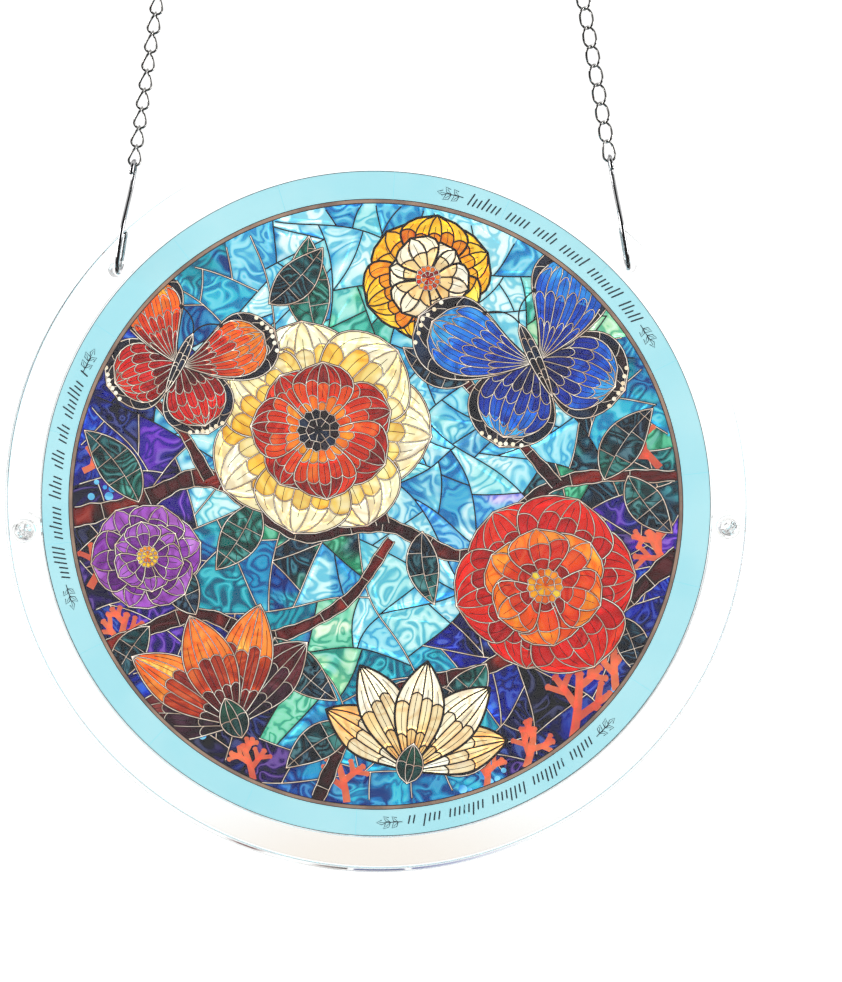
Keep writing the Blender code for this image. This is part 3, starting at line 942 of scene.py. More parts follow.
def linesObject(name, lines):
    points, edges, widths = [], [], []
    for path, height, width, inlay in lines:
        first = len(points)
        points += [(p.x * mm, p.y * mm, height * mm) for p in path]
        edges += [(first + k, first + k + 1) for k in range(len(path) - 1)]
        widths += [width] * len(path)
    mesh = meshOf(name, points, edges)
    mesh.attributes.new("thin", "FLOAT", "POINT").data.foreach_set("value", widths)
    return addObject(name, mesh)


def ribbonTree():
    # a flat ribbon along every edge path, with a round dot at each end
    tree, given = newTree("flatRibbon", Width="Float", Lift="Float", Material="Material")
    half = maths(tree, "MULTIPLY", given["Width"], 0.5)
    minus = maths(tree, "MULTIPLY", given["Width"], -0.5)
    path = put(tree, "GeometryNodeMeshToCurve", {"Mesh": given["Geometry"]})
    upright = put(tree, "GeometryNodeSetCurveNormal", {"Curve": path}, mode="Z_UP")
    start, end = (put(tree, "ShaderNodeCombineXYZ", {0: across}) for across in (minus, half))
    profile = put(tree, "GeometryNodeCurvePrimitiveLine", {"Start": start, "End": end})
    thin = put(tree, "GeometryNodeInputNamedAttribute", {"Name": "thin"}, data_type="FLOAT")
    swept = {"Curve": upright, "Profile Curve": profile, "Scale": thin}
    ribbon = put(tree, "GeometryNodeCurveToMesh", swept)
    dot = put(tree, "GeometryNodeMeshCircle", {"Vertices": 8, "Radius": half}, fill_type="NGON")
    tips = put(tree, "GeometryNodeCurveEndpointSelection", {"Start Size": 1, "End Size": 1})
    placed = {"Points": upright, "Selection": tips, "Instance": dot, "Scale": thin}
    dots = put(tree, "GeometryNodeInstanceOnPoints", placed)
    both = addNode(tree, "GeometryNodeJoinGeometry", {"Geometry": ribbon})
    tree.links.new(dots, both.inputs[0])
    up = put(tree, "ShaderNodeCombineXYZ", {2: given["Lift"]})
    moved = put(tree, "GeometryNodeTransform", {"Geometry": both.outputs[0], "Translation": up})
    return closeTree(tree, moved, given["Material"])


def layOnPuzzle(obj):
    # flat sheet to the puzzle's front: up becomes +Z, height becomes -Y
    place = Matrix.Translation((0.0, puzzleLow.y, caseMiddle.z)) @ Matrix.Rotation(math.pi / 2, 4, "X")
    obj.data.transform(place)
    return finishPiece(obj)


def layBehind(obj):
    # the same print shows through on the puzzle's back, flatter, with its faces turned round
    squash = pictureShape["backHeight"]
    for p in obj.data.vertices:
        p.co.y = puzzleHigh.y + (puzzleLow.y - p.co.y) * squash
    obj.data.flip_normals()
    return finishPiece(obj)


def ribbons(name, lines, width, rise, material, tree):
    obj = linesObject(name, lines)
    grow(obj, tree, {"Width": width * mm, "Lift": rise * mm, "Material": material})
    return layOnPuzzle(obj)


# Background, split again and again into panes


def swayed(p):
    # bends straight leads a little, and leaves the round edge alone
    hold = max(0.0, 1 - (p.length / pictureShape["radius"]) ** 8)
    side = Vector((math.sin(p.y * 0.11 + 1.0) + 0.7 * math.sin(p.x * 0.17 + p.y * 0.05),
                   math.cos(p.x * 0.10 + 0.4) + 0.7 * math.sin(p.y * 0.16 - p.x * 0.06 + 2)))
    return p + side * pictureShape["sway"] * hold


def splitUp(polygon, dice):
    # returns the panes and the straight leads between them
    panes, leads, waiting = [], [], [polygon]
    while waiting:
        pane = waiting.pop()
        middle = middleOf(pane)
        size = area(pane)
        limit = pictureShape["cellArea"] * (1.55 - 0.55 * middle.y / 60) * dice.uniform(0.75, 1.6)
        if size < limit:
            panes.append(pane)
            continue
        far = max(((p, q) for p in pane for q in pane), key=lambda pair: (pair[0] - pair[1]).length)
        along = (far[1] - far[0]).normalized()
        normal = Matrix.Rotation(math.radians(dice.uniform(-30, 30)), 2) @ along
        limit = (middle + along * dice.uniform(-0.16, 0.16) * math.sqrt(size)).dot(normal)
        near, beyond = keptSide(pane, normal, limit), keptSide(pane, -normal, -limit)
        cut = [p for p in near if abs(p.dot(normal) - limit) < 1e-4]
        cut.sort(key=lambda p: p.x * -normal.y + p.y * normal.x)
        if len(near) < 3 or len(beyond) < 3 or len(cut) < 2:
            panes.append(pane)
            continue
        leads.append((cut[0], cut[-1]))
        waiting += [near, beyond]
    return panes, leads


def steppedPath(p, q):
    steps = max(1, math.ceil((q - p).length / 2.0))
    return [swayed(p + (q - p) * step / steps) for step in range(steps + 1)]


def zoneAt(p, dice):
    scored = [((Vector(z[:2]) - p).length * dice.uniform(0.85, 1.15), z[2]) for z in zones]
    return min(scored)[1]


def background(sheet, dice):
    radius = pictureShape["radius"] + 0.2
    panes, leads = splitUp([onCircle(radius, 4.0 * k) for k in range(90)], dice)
    for pane in panes:
        outline = []
        for k, p in enumerate(pane):
            outline += steppedPath(p, pane[(k + 1) % len(pane)])[:-1]
        tones = palette[zoneAt(middleOf(pane), dice)]
        fill(sheet, outline, (dice.choice(tones), dice.choice(tones)))
    lift(sheet)
    for p, q in leads:
        zone = zoneAt((p + q) / 2, dice)
        line(sheet, steppedPath(p, q), 0.62 if zone in pale else 1.0, inlay=zone not in pale)


# Shapes cut into lanes, such as petals, wings and leaves


def petal(root, heading, length, width, **form):
    return {"root": Vector(root), "heading": heading, "length": length, "width": width, **form}


def shapePoint(shape, t, s):
    # t runs from root to tip, s from -1 to 1 across
    t = min(1.0, max(0.0, t))
    half = shape["width"] / 2 * math.sin(math.pi * t ** shape.get("peak", 1.0)) ** shape.get("blunt", 0.7)
    half = max(half, shape.get("foot", 0.0) * (1 - t) ** 3)
    bend = shape.get("bend", 0.0)
    heading = shape["heading"] + math.degrees(math.atan(2 * bend * t))
    along, across = onCircle(1.0, shape["heading"]), onCircle(1.0, shape["heading"] + 90)
    spine = shape["root"] + (along * t + across * bend * t * t) * shape["length"]
    return spine + onCircle(1.0, heading + 90) * s * half


def mixedColour(colours, share, dice, spread=10):
    place = min(0.999, max(0.0, share)) * (len(colours) - 1)
    first = int(place)
    part = place - first
    jump = dice.uniform(-spread, spread)
    pairs = zip(colours[first], colours[first + 1])
    return tuple(min(255, max(0, a + (b - a) * part + jump)) for a, b in pairs)


def lanePath(shape, s, start, end):
    steps = max(2, math.ceil((end - start) * shape["length"] / 1.5))
    return [shapePoint(shape, start + (end - start) * k / steps, s) for k in range(steps + 1)]


def crossPath(shape, t, low, high, bulge):
    # from one lane to the next, rounded towards the tip
    path = []
    for k in range(7):
        path.append(shapePoint(shape, t + bulge * (1 - (k / 3 - 1) ** 2), low + (high - low) * k / 6))
    return path


def cutShape(sheet, shape, lanes, cuts, colours, dice, **look):
    # fills the cells between lanes and cross cuts, and draws the leads between them
    bulge, slant = look.get("bulge", 0.03), look.get("slant", 0.0)
    inlay, vein, finish = look.get("inlay", True), look.get("vein", 0.7), look.get("finish", 1)
    lift(sheet)
    for low, high in zip(lanes, lanes[1:]):
        lean = slant * (abs(low) + abs(high)) / 2
        stops = sorted(min(0.93, max(0.08, c + lean + dice.uniform(-0.06, 0.06))) for c in cuts)
        stops = [0.0, *stops, 1.0]
        for start, end in zip(stops, stops[1:]):
            if end - start < 0.04:
                continue
            near, far = lanePath(shape, low, start, end), lanePath(shape, high, start, end)
            foot = crossPath(shape, start, low, high, bulge) if start else [near[0]]
            top = crossPath(shape, end, low, high, bulge) if end < 1 else [near[-1]]
            share = (start + end) / 2
            tone = mixedColour(colours, share, dice)
            other = mixedColour(colours, share + dice.uniform(-0.22, 0.22), dice)
            fill(sheet, near + top + far[::-1] + foot[::-1], (tone, other), finish)
            if end < 1:
                line(sheet, top, vein, inlay=inlay)
    for s in lanes:
        edge = abs(s) > 0.99
        line(sheet, lanePath(shape, s, 0.0, 1.0), 1.1 if edge else vein, inlay=inlay)


def fineLines(sheet, shape, places, start, end, width=0.3):
    # hair-thin strokes along a petal or wing
    for s in places:
        line(sheet, lanePath(shape, s, start, end), width, inlay=False)


def disc(centre, radius, sides, turn=0.0):
    return [centre + onCircle(radius, turn + 360.0 * k / sides) for k in range(sides)]


def blossom(sheet, centre, radius, petals, outer, inner, eye, turn, dice, inlay=True):
    centre = Vector(centre)
    for share, start, colours in ((1.0, turn, outer), (0.64, turn + 180.0 / petals, inner)):
        order = [k for k in range(0, petals, 2)] + [k for k in range(1, petals, 2)]
        for k in order:
            heading = start + 360.0 * k / petals + dice.uniform(-5, 5)
            length = radius * share * dice.uniform(0.93, 1.06)
            width = 2 * math.pi * length / petals * 1.08
            root = centre + onCircle(radius * 0.05, heading)
            shape = petal(root, heading, length, width, peak=1.5, blunt=0.62, bend=dice.uniform(-0.14, 0.14))
            lanes = (-1.0, -0.58, -0.2, 0.18, 0.56, 1.0) if length > 15 else (-1.0, -0.36, 0.3, 1.0)
            cuts = (0.40, 0.70) if length > 11 else (0.55,)
            cutShape(sheet, shape, lanes, cuts, colours, dice, slant=-0.08, bulge=0.05, inlay=inlay)
            fineLines(sheet, shape, (-0.8, -0.4, 0.0, 0.36, 0.78), 0.45, dice.uniform(0.8, 0.9))
    core = radius * 0.19
    for reach, count in ((core, 13), (core * 0.58, 7)):
        lift(sheet)
        for k in range(count):
            a, b = turn + 360.0 * k / count, turn + 360.0 * (k + 1) / count
            tip = centre + onCircle(reach * 1.12, (a + b) / 2)
            points = [centre, centre + onCircle(reach, a), tip, centre + onCircle(reach, b)]
            fill(sheet, points, [mixedColour(eye, dice.random(), dice) for tone in range(2)], 1)
            line(sheet, [centre + onCircle(reach * 0.4, a), centre + onCircle(reach, a)], 0.6)
            line(sheet, [points[1], tip, points[3]], 0.7)


def butterfly(sheet, centre, size, heading, outer, inner, margin, dice):
    centre = Vector(centre)
    for share, spread, colours, peak in ((0.80, 128.0, inner, 1.25), (1.06, 58.0, outer, 1.9)):
        for side in (-1, 1):
            root = centre + onCircle(size * 0.03, heading + side * 90)
            width = size * share * (0.94 if share < 1 else 0.66)
            bend = -side * (0.26 if share > 1 else -0.10)
            form = {"peak": peak, "blunt": 0.55, "bend": bend}
            shape = petal(root, heading + side * spread, size * share, width, **form)
            # dark margin first, then the coloured scales on top of it
            rear = {**shape, "width": shape["width"] * 1.10, "length": shape["length"] * 1.05}
            cutShape(sheet, rear, (-1.0, -0.6, -0.2, 0.2, 0.6, 1.0), (0.5, 0.8), margin, dice, bulge=0.02)
            lanes = (-1.0, -0.64, -0.30, 0.02, 0.34, 0.66, 1.0)
            front = {**shape, "width": shape["width"] * 0.92, "length": shape["length"] * 0.93}
            cutShape(sheet, front, lanes, (0.34, 0.58, 0.80), colours, dice, bulge=0.07, slant=-0.05)
            fineLines(sheet, front, (-0.82, -0.47, -0.14, 0.18, 0.5, 0.83), 0.25, 0.9, 0.26)
            lift(sheet)
            for k in range(7):
                spot = shapePoint(rear, 0.965 - 0.05 * abs(k - 3) / 3, (k - 3) * 0.29)
                fill(sheet, disc(spot, 0.55, 8), (cream[3], cream[2]), 1, 0.0)
    root = centre - onCircle(size * 0.36, heading)
    body = petal(root, heading, size * 0.74, size * 0.12, peak=1.35, blunt=0.5)
    cutShape(sheet, body, (-1.0, 0.0, 1.0), (0.22, 0.36, 0.5, 0.64, 0.8), dusk, dice)
    head = shapePoint(body, 1.0, 0.0)
    for side in (-1, 1):
        reach = [head + onCircle(size * 0.34 * k / 10, heading + side * (8 + 4 * k)) for k in range(11)]
        line(sheet, reach, 0.7, inlay=False)
        fill(sheet, disc(reach[-1], 0.6, 8), (dusk[3], dusk[1]), 1, 0.0)


def lily(sheet, root, heading, length, colours, rear, base, dice, inlay=True):
    root = Vector(root)
    for turn, share, tones in ((-50, 0.84, rear), (50, 0.84, rear), (-27, 0.97, colours), (27, 0.97, colours),
                               (0, 0.94, colours)):
        form = {"peak": 1.2, "blunt": 0.85, "bend": turn / 46 * 0.20, "foot": 1.2}
        shape = petal(root, heading + turn, length * share, length * 0.40, **form)
        lanes = (-1.0, -0.5, -0.05, 0.44, 1.0)
        cutShape(sheet, shape, lanes, (0.36, 0.66), tones, dice, slant=-0.10, inlay=inlay)
        fineLines(sheet, shape, (-0.75, -0.28, 0.2, 0.7), 0.15, dice.uniform(0.7, 0.85))
    start = root - onCircle(length * 0.10, heading)
    calyx = petal(start, heading, length * 0.34, length * 0.22, peak=0.85, blunt=0.8)
    cutShape(sheet, calyx, (-1.0, -0.3, 0.3, 1.0), (0.5,), base, dice)


def leaf(sheet, root, heading, length, width, bend, dice):
    shape = petal(root, heading, length, width, bend=bend, peak=0.9, blunt=0.9)
    tones = palette["leaf"]
    cutShape(sheet, shape, (-1.0, 0.0, 1.0), (0.3, 0.55, 0.78), [dice.choice(tones), dice.choice(tones)],
             dice, slant=0.10, finish=0, bulge=0.0, vein=0.55)
    for side in (-1, 1):
        for t in (0.2, 0.42, 0.62):
            rib = [shapePoint(shape, t + 0.17 * k / 4, side * k / 4 * 0.9) for k in range(5)]
            line(sheet, rib, 0.3, inlay=False)


def throughPoints(points, step):
    # a smooth path through the points
    path = []
    points = [Vector(p) for p in points]
    ends = [2 * points[0] - points[1], *points, 2 * points[-1] - points[-2]]
    for a, b, c, d in zip(ends, ends[1:], ends[2:], ends[3:]):
        steps = max(2, math.ceil((c - b).length / step))
        for k in range(steps):
            t = k / steps
            path.append(0.5 * (2 * b + (c - a) * t + (2 * a - 5 * b + 4 * c - d) * t * t
                               + (3 * b - a - 3 * c + d) * t**3))
    path.append(points[-1])
    return path


def stem(sheet, points, startWidth, endWidth, dice):
    lift(sheet)
    path = throughPoints(points, 1.4)
    count = len(path)
    sides = ([], [])
    for k, p in enumerate(path):
        before, after = path[max(0, k - 1)], path[min(count - 1, k + 1)]
        along = (after - before).normalized()
        across = Vector((-along.y, along.x))
        half = (startWidth + (endWidth - startWidth) * k / (count - 1)) / 2
        half *= 1 + 0.14 * math.sin(k * 0.55) + 0.08 * math.sin(k * 1.7 + 1)
        sides[0].append(p + across * half)
        sides[1].append(p - across * half)
    start = 0
    while start < count - 1:
        end = min(count - 1, start + dice.randint(5, 10))
        tones = palette["bark"]
        piece = sides[0][start:end + 1] + sides[1][start:end + 1][::-1]
        fill(sheet, piece, (dice.choice(tones), dice.choice(tones)), 1, 1.5)
        if end < count - 1:
            line(sheet, [sides[0][end], sides[1][end]], 0.7)
        start = end
    for side in sides:
        line(sheet, side, 1.0)


def sprig(sheet, root, heading, size, width, dice, depth=0):
    # branching sprig with rounded tips and no leads
    root = Vector(root)
    bend = dice.uniform(-22, 22)
    path = [root]
    for k in range(6):
        path.append(path[-1] + onCircle(size / 6, heading + bend * k / 6))
    left, right = [], []
    for k, p in enumerate(path):
        across = onCircle(width / 2 * (1 - 0.03 * k), heading + bend * k / 6 + 90)
        left.append(p + across)
        right.append(p - across)
    tip = [path[-1] + onCircle(width * 0.56, heading + bend + a) for a in (80, 48, 16, -16, -48, -80)]
    fill(sheet, left + tip + right[::-1], palette["sprig"], 2, 0.0)
    if depth < 2:
        side = dice.choice((-1, 1))
        for at, reach in ((2, 0.62), (3, 0.56), (5, 0.40)) if depth == 0 else ((3, 0.52), (4, 0.46)):
            away = heading + side * dice.uniform(38, 56)
            sprig(sheet, path[at], away, size * reach, width * 0.86, dice, depth + 1)
            side = -side


def beads(sheet, centre, spread, count, dice):
    lift(sheet)
    for k in range(count):
        place = Vector(centre) + onCircle(spread * math.sqrt(dice.random()), dice.uniform(0, 360))
        fill(sheet, disc(place, dice.uniform(0.5, 1.2), 14), palette["bead"], 1, 0.0)


def makePicture():
    dice = random.Random(pictureShape["seed"])
    sheet = newSheet()
    background(sheet, dice)
    for place, spread, count in (((26, -66), 8, 12), ((-46, -54), 7, 8), ((62, -46), 5, 6), ((-70, 4), 4, 5)):
        beads(sheet, place, spread, count, dice)
    for place, heading, size, width in (
        ((50, -60), 80, 17, 2.3), ((61, -47), 96, 13, 2.0), ((38, -67), 70, 10, 1.9),
        ((-73, -20), 60, 12, 2.0), ((-66, -38), 84, 11, 1.8), ((-8, -76), 96, 11, 1.9),
        ((72, 10), 132, 12, 1.9), ((-32, -70), 100, 9, 1.7), ((75, -16), 128, 11, 1.8),
        ((-74, 10), 24, 8, 1.6), ((28, -72), 84, 8, 1.7), ((-50, -58), 84, 9, 1.8),
    ):
        lift(sheet)
        sprig(sheet, place, heading, size, width, dice)
    stems = (
        ([(-77, -2), (-60, 2), (-42, 8), (-20, -6), (2, -4), (24, -12), (46, 6), (77, 8)], 4.6, 2.8),
        ([(-70, -36), (-46, -27), (-28, -33), (-8, -24), (4, -8)], 4.0, 2.2),
        ([(77, -12), (60, -26), (44, -32), (26, -42), (8, -46), (-6, -56), (-16, -76)], 4.4, 3.2),
        ([(2, -4), (-2, 12), (-10, 26)], 3.0, 2.4),
        ([(46, 6), (34, 20), (22, 34), (14, 52)], 2.8, 1.8),
        ([(-42, 8), (-50, 22), (-60, 32)], 2.8, 1.4),
        ([(-28, -33), (-34, -44), (-36, -54)], 2.4, 1.8),
    )
    for points, startWidth, endWidth in stems:
        stem(sheet, points, startWidth, endWidth, dice)
    leaves = (
        ((-60, 2), 112, 22, 10, 0.25), ((-30, 2), 250, 20, 10, -0.2), ((-18, -6), 98, 16, 8, 0.3),
        ((12, -6), 262, 18, 8, 0.3), ((58, 7), 70, 21, 10, -0.25), ((64, 8), 296, 18, 9, 0.2),
        ((-46, -27), 122, 18, 9, -0.2), ((-26, -33), 300, 22, 10, 0.25), ((28, -40), 240, 20, 9, -0.25),
        ((46, -31), 76, 14, 7, 0.3), ((-6, -56), 198, 20, 9, 0.25), ((30, 24), 14, 20, 9, 0.25),
        ((24, 32), 166, 18, 8, -0.25), ((14, 52), 28, 18, 9, 0.3), ((-50, 22), 24, 17, 8, 0.3),
        ((-14, 44), 108, 24, 11, -0.25), ((-26, 52), 34, 19, 9, 0.2), ((8, -46), 328, 18, 8, 0.2),
        ((-58, -30), 226, 18, 8, 0.2), ((62, -28), 300, 16, 8, -0.2), ((16, -68), 20, 18, 8, 0.2),
    )
    for root, heading, length, width, bend in leaves:
        leaf(sheet, root, heading, length, width, bend, dice)
    lily(sheet, (-36, -56), 112, 33, copper, shadow, cup, dice)
    lily(sheet, (8, -68), 80, 31, cream, cream[::-1], cup, dice, inlay=False)
    blossom(sheet, (-58, -12), 13.5, 6, plum, plum[1:], gold, 10, dice)
    blossom(sheet, (14, 58), 15, 6, gold, cream, ember, 20, dice, inlay=False)
    blossom(sheet, (43, -20), 22, 6, red, ember, gold, 8, dice)
    blossom(sheet, (-14, 20), 26, 7, sunny, ember[::-1], dusk, 0, dice)
    butterfly(sheet, (41, 37), 27, 114, blue[1:], blue, dusk, dice)
    butterfly(sheet, (-49, 37), 22, 64, ember, red, dusk, dice)
    return sheet, dice


def report(*objects):
    for obj in objects:
        corners = sum(polygon.loop_total - 2 for polygon in obj.data.polygons)
        print(obj.name, corners, "triangles")


ribbon = ribbonTree()
sheet, dice = makePicture()
picture = layOnPuzzle(fillsObject("picture", sheet, [backGlass, figureGlass, sprigInk], dice))
step = pictureShape["layerStep"]
leads = ribbons("leadLines", sheet["lines"], pictureShape["leadWidth"], step * 0.4, leadInk, ribbon)
inlaid = [entry for entry in sheet["lines"] if entry[3]]
inlayWidth = pictureShape["leadWidth"] * pictureShape["inlayShare"]
inlays = ribbons("leadInlays", inlaid, inlayWidth, step * 0.7, inlayInk, ribbon)
print("picture:", len(sheet["fills"]), "cells and", len(sheet["lines"]), "leads")
report(picture, leads, inlays)


# Band round the picture, with rows of plain strokes and small sprigs

bandShape = {
    "inner": 77.3,
    "outer": 84.8,
    "segments": 240,
    "ringWidth": 1.0,
    "rowRadius": 81.2,
    "rowSpanDeg": 37.0,
    "rowMiddlesDeg": (54.0, 174.0, -66.0),
    "strokeWidth": 0.42,
    "strokeGap": 1.25,
    "edgeWidth": 0.20,
    "sprigGapDeg": 3.4,
}


def annulus(name, inner, outer, height, segments):
    points, faces = [], []
    for k in range(segments):
        for radius in (inner, outer):
            p = onCircle(radius * mm, 360.0 * k / segments)
            points.append((p.x, p.y, height * mm))
    for k in range(segments):
        a, b = 2 * k, 2 * ((k + 1) % segments)
        faces.append((a, a + 1, b + 1, b))
    return addObject(name, meshOf(name, points, (), faces))


def strokeRow(lines, middleDeg, height, dice):
    # short slanted strokes in groups, standing on one circle
    b = bandShape
    stepDeg = math.degrees(b["strokeGap"] / b["rowRadius"])
    place = middleDeg + b["rowSpanDeg"] / 2
    group = dice.randint(5, 8)
    while place > middleDeg - b["rowSpanDeg"] / 2:
        if group == 0:
            group = dice.randint(4, 9)
            place -= stepDeg * 1.3
        low = b["rowRadius"] - 1.3
        tall = dice.choice((1.9, 1.9, 2.9))
        lean = math.degrees(tall * 0.32 / b["rowRadius"])
        lines.append(([onCircle(low, place), onCircle(low + tall, place - lean)], height, 1.0, False))
        place -= stepDeg
        group -= 1


def bandSprig(lines, atDeg, turn, height):
    # a twig with outlined leaves
    centre = onCircle(bandShape["rowRadius"], atDeg)
    heading = atDeg + turn
    path = [centre + onCircle(-3.2 + 1.0 * k, heading) for k in range(5)]
    lines.append((path, height, 0.6, False))
    for k, side, length in ((1, 1, 2.3), (1, -1, 2.1), (3, 1, 2.5), (3, -1, 2.3), (4, 0, 2.6)):
        shape = petal(path[k], heading + side * 42, length, 1.25, blunt=0.8)
        outline = lanePath(shape, 1.0, 0.0, 1.0) + lanePath(shape, -1.0, 0.0, 1.0)[::-1]
        lines.append((thinned(outline, 0.05), height, 0.5, False))
        lines.append((lanePath(shape, 0.0, 0.0, 0.7), height, 0.35, False))


def circlePath(radius, height, width):
    path = disc(Vector((0.0, 0.0)), radius, bandShape["segments"])
    return ([*path, path[0]], height, width, False)


def makeBand(base, dice):
    b = bandShape
    half = b["ringWidth"] / 2
    band = annulus("band", b["inner"] - 0.2, b["outer"], base, b["segments"])
    band.data.materials.append(bandInk)
    layOnPuzzle(band)
    rise = base + pictureShape["layerStep"]
    ribbons("goldRing", [circlePath(b["inner"], rise, 1.0)], b["ringWidth"], 0.0, ringInk, ribbon)
    circles = ((b["inner"] + half, 1.0), (b["inner"] - half, 1.2), (b["outer"] - 0.1, 0.8))
    edges = [circlePath(radius, rise, width) for radius, width in circles]
    ribbons("ringEdges", edges, b["edgeWidth"], pictureShape["layerStep"], leadInk, ribbon)
    marks = []
    for middle in b["rowMiddlesDeg"]:
        strokeRow(marks, middle, rise, dice)
        for side in (-1, 1):
            bandSprig(marks, middle + side * (b["rowSpanDeg"] / 2 + b["sprigGapDeg"]), side * 90.0, rise)
    ribbons("bandMarks", marks, b["strokeWidth"], 0.0, markInk, ribbon)


makeBand(sheet["height"] + 4 * step, dice)


# Faint jigsaw seams in the band, along the cuts of the frame's outer pieces

seamShape = {
    "count": 18,
    "startDeg": 6.0,
    "width": 0.10,
}


def seamPaths(height):
    ends = (bandShape["inner"] + 0.5, bandShape["outer"] - 0.1)
    paths = []
    for k in range(seamShape["count"]):
        angle = seamShape["startDeg"] + 360.0 * k / seamShape["count"]
        paths.append(([onCircle(radius, angle) for radius in ends], height, 1.0, False))
    return paths


ribbons("puzzleSeams", seamPaths(sheet["height"] + 8 * step), seamShape["width"], 0.0, seamInk, ribbon)
for front in ("picture", "leadLines", "band", "goldRing", "ringEdges"):
    shown = bpy.data.objects[front]
    layBehind(addObject(front + "Back", shown.data.copy()))
print("band and seams done")


# Stage, lights, world and camera

white = (1.0, 1.0, 1.0, 1.0)

stageShape = {
    "drop": 0.55,           # floor below the case
    "reach": 3.0,
    "segments": 48,
    "glow": 1.10,
    "dim": 0.03,            # what reflections see of it
    "warmAt": (-0.12, 2.0),
    "warmReach": (0.03, 0.40),
    "warm": (0.91, 0.835, 0.76, 1.0),
}


def makeStage():
    s = stageShape
    low = cadBox[0].z - s["drop"]
    turn = s["segments"]
    bm = bmesh.new()
    rings = []
    for radius, z in ((s["reach"], low), (s["reach"] * 1.2, low + 0.12)):
        rings.append([bm.verts.new((*onCircle(radius, 360 * k / turn), z)) for k in range(turn)])
    middle = bm.verts.new((0.0, 0.0, low))
    for k in range(turn):
        n = (k + 1) % turn
        bm.faces.new((middle, rings[0][k], rings[0][n]))
        bm.faces.new((rings[0][k], rings[1][k], rings[1][n], rings[0][n]))
    floor = solid("paleFloor", bm, None)
    # white where it is looked at, with a warm patch that the lower margin shows, and dark in reflections
    made, tree, shader = newMaterial("paleFloor")
    shine = addNode(tree, "ShaderNodeEmission")
    tree.links.new(shine.outputs[0], tree.nodes["Material Output"].inputs["Surface"])
    tree.nodes.remove(shader)
    ways = addNode(tree, "ShaderNodeLightPath").outputs
    ends = {0: objectPlace(tree), 1: (*s["warmAt"], low)}
    away = addNode(tree, "ShaderNodeVectorMath", ends, operation="DISTANCE").outputs["Value"]
    warm = remap(tree, away, *s["warmReach"], 1.0, 0.0, "SMOOTHSTEP")
    warmSeen = maths(tree, "MULTIPLY", warm, ways["Is Transmission Ray"])
    either = maths(tree, "MAXIMUM", ways["Is Camera Ray"], ways["Is Transmission Ray"])
    shown = put(tree, "ShaderNodeMix", {0: either, 2: s["dim"], 3: s["glow"]})
    tree.links.new(blend(tree, warmSeen, white, s["warm"]), shine.inputs["Color"])
    tree.links.new(shown, shine.inputs["Strength"])
    floor.data.materials.append(made)


def addLight(name, place, aim, size, power, colour=(1.0, 1.0, 1.0)):
    data = bpy.data.lights.new(name, "AREA")
    data.shape = "RECTANGLE"
    data.size, data.size_y = size
    data.energy = power
    data.color = colour
    made = bpy.data.objects.new(name, data)
    made.location = place
    made.rotation_euler = (Vector(aim) - Vector(place)).to_track_quat("-Z", "Y").to_euler()
    bpy.context.scene.collection.objects.link(made)
    return made


worldShape = {
    "seen": 1.1,            # brightness of the plain background itself
    "behind": 1.25,         # straight behind the case, which the clear margin shows
    # brightness from in front of the case (0) round the sides (0.5) to behind it (1), as a share of behind
    "round": (
        (0.0, 0.015), (0.34, 0.015), (0.45, 0.62), (0.64, 0.68), (0.74, 0.40), (0.86, 0.40), (0.94, 1.0),
    ),
    # dim panels behind and above the case, left to right, which only the lower rim picks up
    "panelRange": (-0.215, 0.125),
    "panels": (
        (0.05, (1.0, 1.0, 1.0)),
        (0.28, (0.42, 0.44, 0.60)),
        (0.390, (0.22, 0.24, 0.40)),
        (0.395, (1.0, 1.0, 1.0)),
        (0.410, (1.0, 1.0, 1.0)),
        (0.415, (0.16, 0.18, 0.29)),
        (0.570, (0.17, 0.19, 0.31)),
        (0.575, (1.0, 1.0, 1.0)),
        (0.590, (1.0, 1.0, 1.0)),
        (0.595, (0.11, 0.10, 0.10)),
        (0.68, (0.40, 0.35, 0.34)),
        (0.72, (1.0, 1.0, 1.0)),
        (0.86, (1.0, 1.0, 1.0)),
        (0.90, (0.26, 0.17, 0.17)),
        (0.95, (0.26, 0.17, 0.17)),
        (1.0, (1.0, 1.0, 1.0)),
    ),
    "panelLow": 0.180,
    "panelHigh": 0.36,
}


def colourRamp(tree, value, stops):
    ramp = addNode(tree, "ShaderNodeValToRGB", {"Fac": value})
    marks = ramp.color_ramp.elements
    while len(marks) < len(stops):
        marks.new(0.5)
    for mark, (place, colour) in zip(marks, stops):
        mark.position = place
        mark.color = (*colour, 1.0)
    return ramp.outputs["Color"]


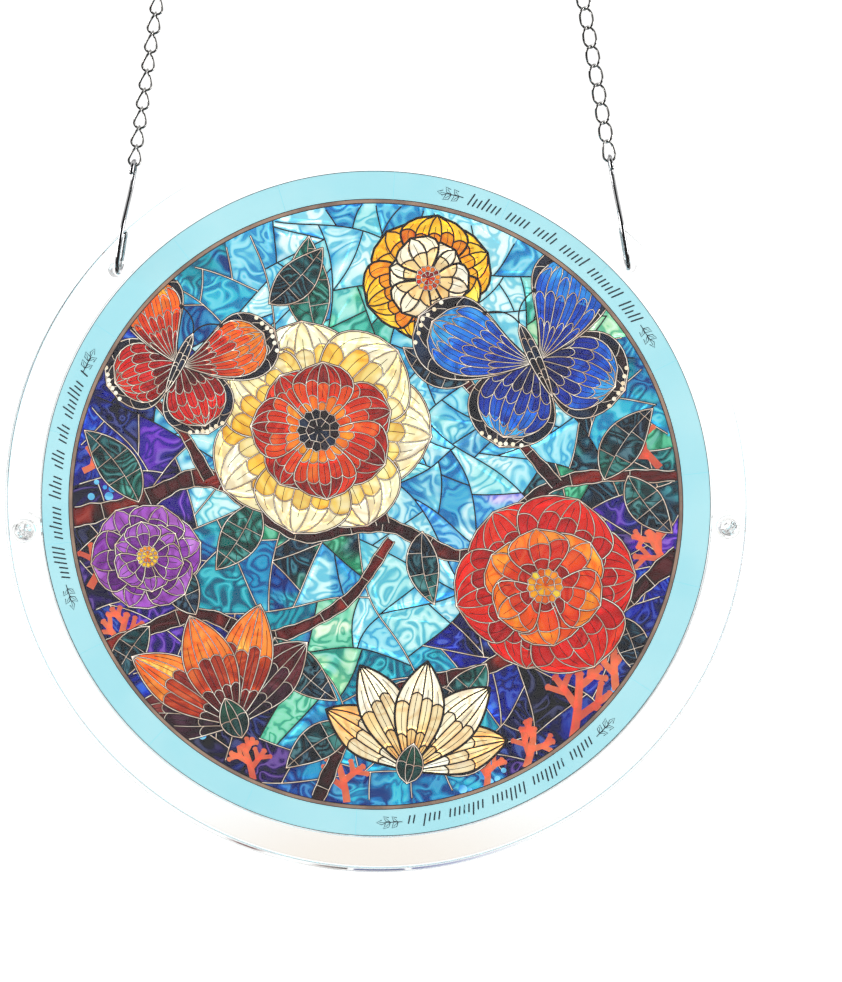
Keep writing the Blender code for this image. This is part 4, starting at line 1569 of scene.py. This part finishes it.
def makeWorld():
    w = worldShape
    # white behind and beside the case, dark behind the camera, so that clear edges and wire keep contrast
    world = bpy.data.worlds.new("softWhite")
    world.use_nodes = True
    bpy.context.scene.world = world
    tree = world.node_tree
    direction = addNode(tree, "ShaderNodeTexCoord").outputs["Generated"]
    x, y, z = addNode(tree, "ShaderNodeSeparateXYZ", {0: direction}).outputs
    ways = addNode(tree, "ShaderNodeLightPath").outputs
    stops = [(place, (share,) * 3) for place, share in w["round"]]
    light = colourRamp(tree, remap(tree, y, -1.0, 1.0), stops)
    # seen through the clear case from behind, the side of the camera is white as well
    through = maths(tree, "MULTIPLY", remap(tree, y, -0.30, -0.50), ways["Is Transmission Ray"])
    light = blend(tree, through, light, white)
    panel = colourRamp(tree, remap(tree, x, *w["panelRange"]), w["panels"])
    inPanel = maths(tree, "GREATER_THAN", y, 0.5)
    for operation, height in (("GREATER_THAN", w["panelLow"]), ("LESS_THAN", w["panelHigh"])):
        inPanel = maths(tree, "MULTIPLY", inPanel, maths(tree, operation, z, height))
    light = blend(tree, inPanel, light, panel, "MULTIPLY")
    seen = ways["Is Camera Ray"]
    strength = put(tree, "ShaderNodeMix", {0: seen, 2: w["behind"], 3: w["seen"]})
    tree.links.new(blend(tree, seen, light, white), tree.nodes["Background"].inputs["Color"])
    tree.links.new(strength, tree.nodes["Background"].inputs["Strength"])


cameraShape = {
    "distance": 0.60,
    "azimuthDeg": 1.7,
    "elevationDeg": 6.5,
    "rollDeg": -0.5,
    "aim": (0.0117, 0.0, -0.13838),
    "viewHeight": 0.2490,
}


def makeCamera():
    c = cameraShape
    data = bpy.data.cameras.new("camera")
    data.lens = 36.0 * c["distance"] / c["viewHeight"]
    camera = bpy.data.objects.new("camera", data)
    bpy.context.scene.collection.objects.link(camera)
    tilt, pan = math.radians(c["elevationDeg"]), math.radians(c["azimuthDeg"])
    back = Vector((math.sin(pan) * math.cos(tilt), -math.cos(pan) * math.cos(tilt), math.sin(tilt)))
    camera.location = Vector(c["aim"]) + back * c["distance"]
    turn = (-back).to_track_quat("-Z", "Y").to_matrix() @ Matrix.Rotation(math.radians(c["rollDeg"]), 3, "Z")
    camera.rotation_euler = turn.to_euler()
    bpy.context.scene.camera = camera


makeStage()
makeWorld()
makeCamera()
caseAt = Vector((0.0, 0.0, caseMiddle.z))
addLight("sideLeft", (-0.80, -0.22, 0.10), caseAt, (0.3, 0.5), 3.0)
addLight("sideRight", (0.80, -0.20, 0.05), caseAt, (0.3, 0.5), 2.5)
bpy.context.scene.view_settings.view_transform = "Standard"
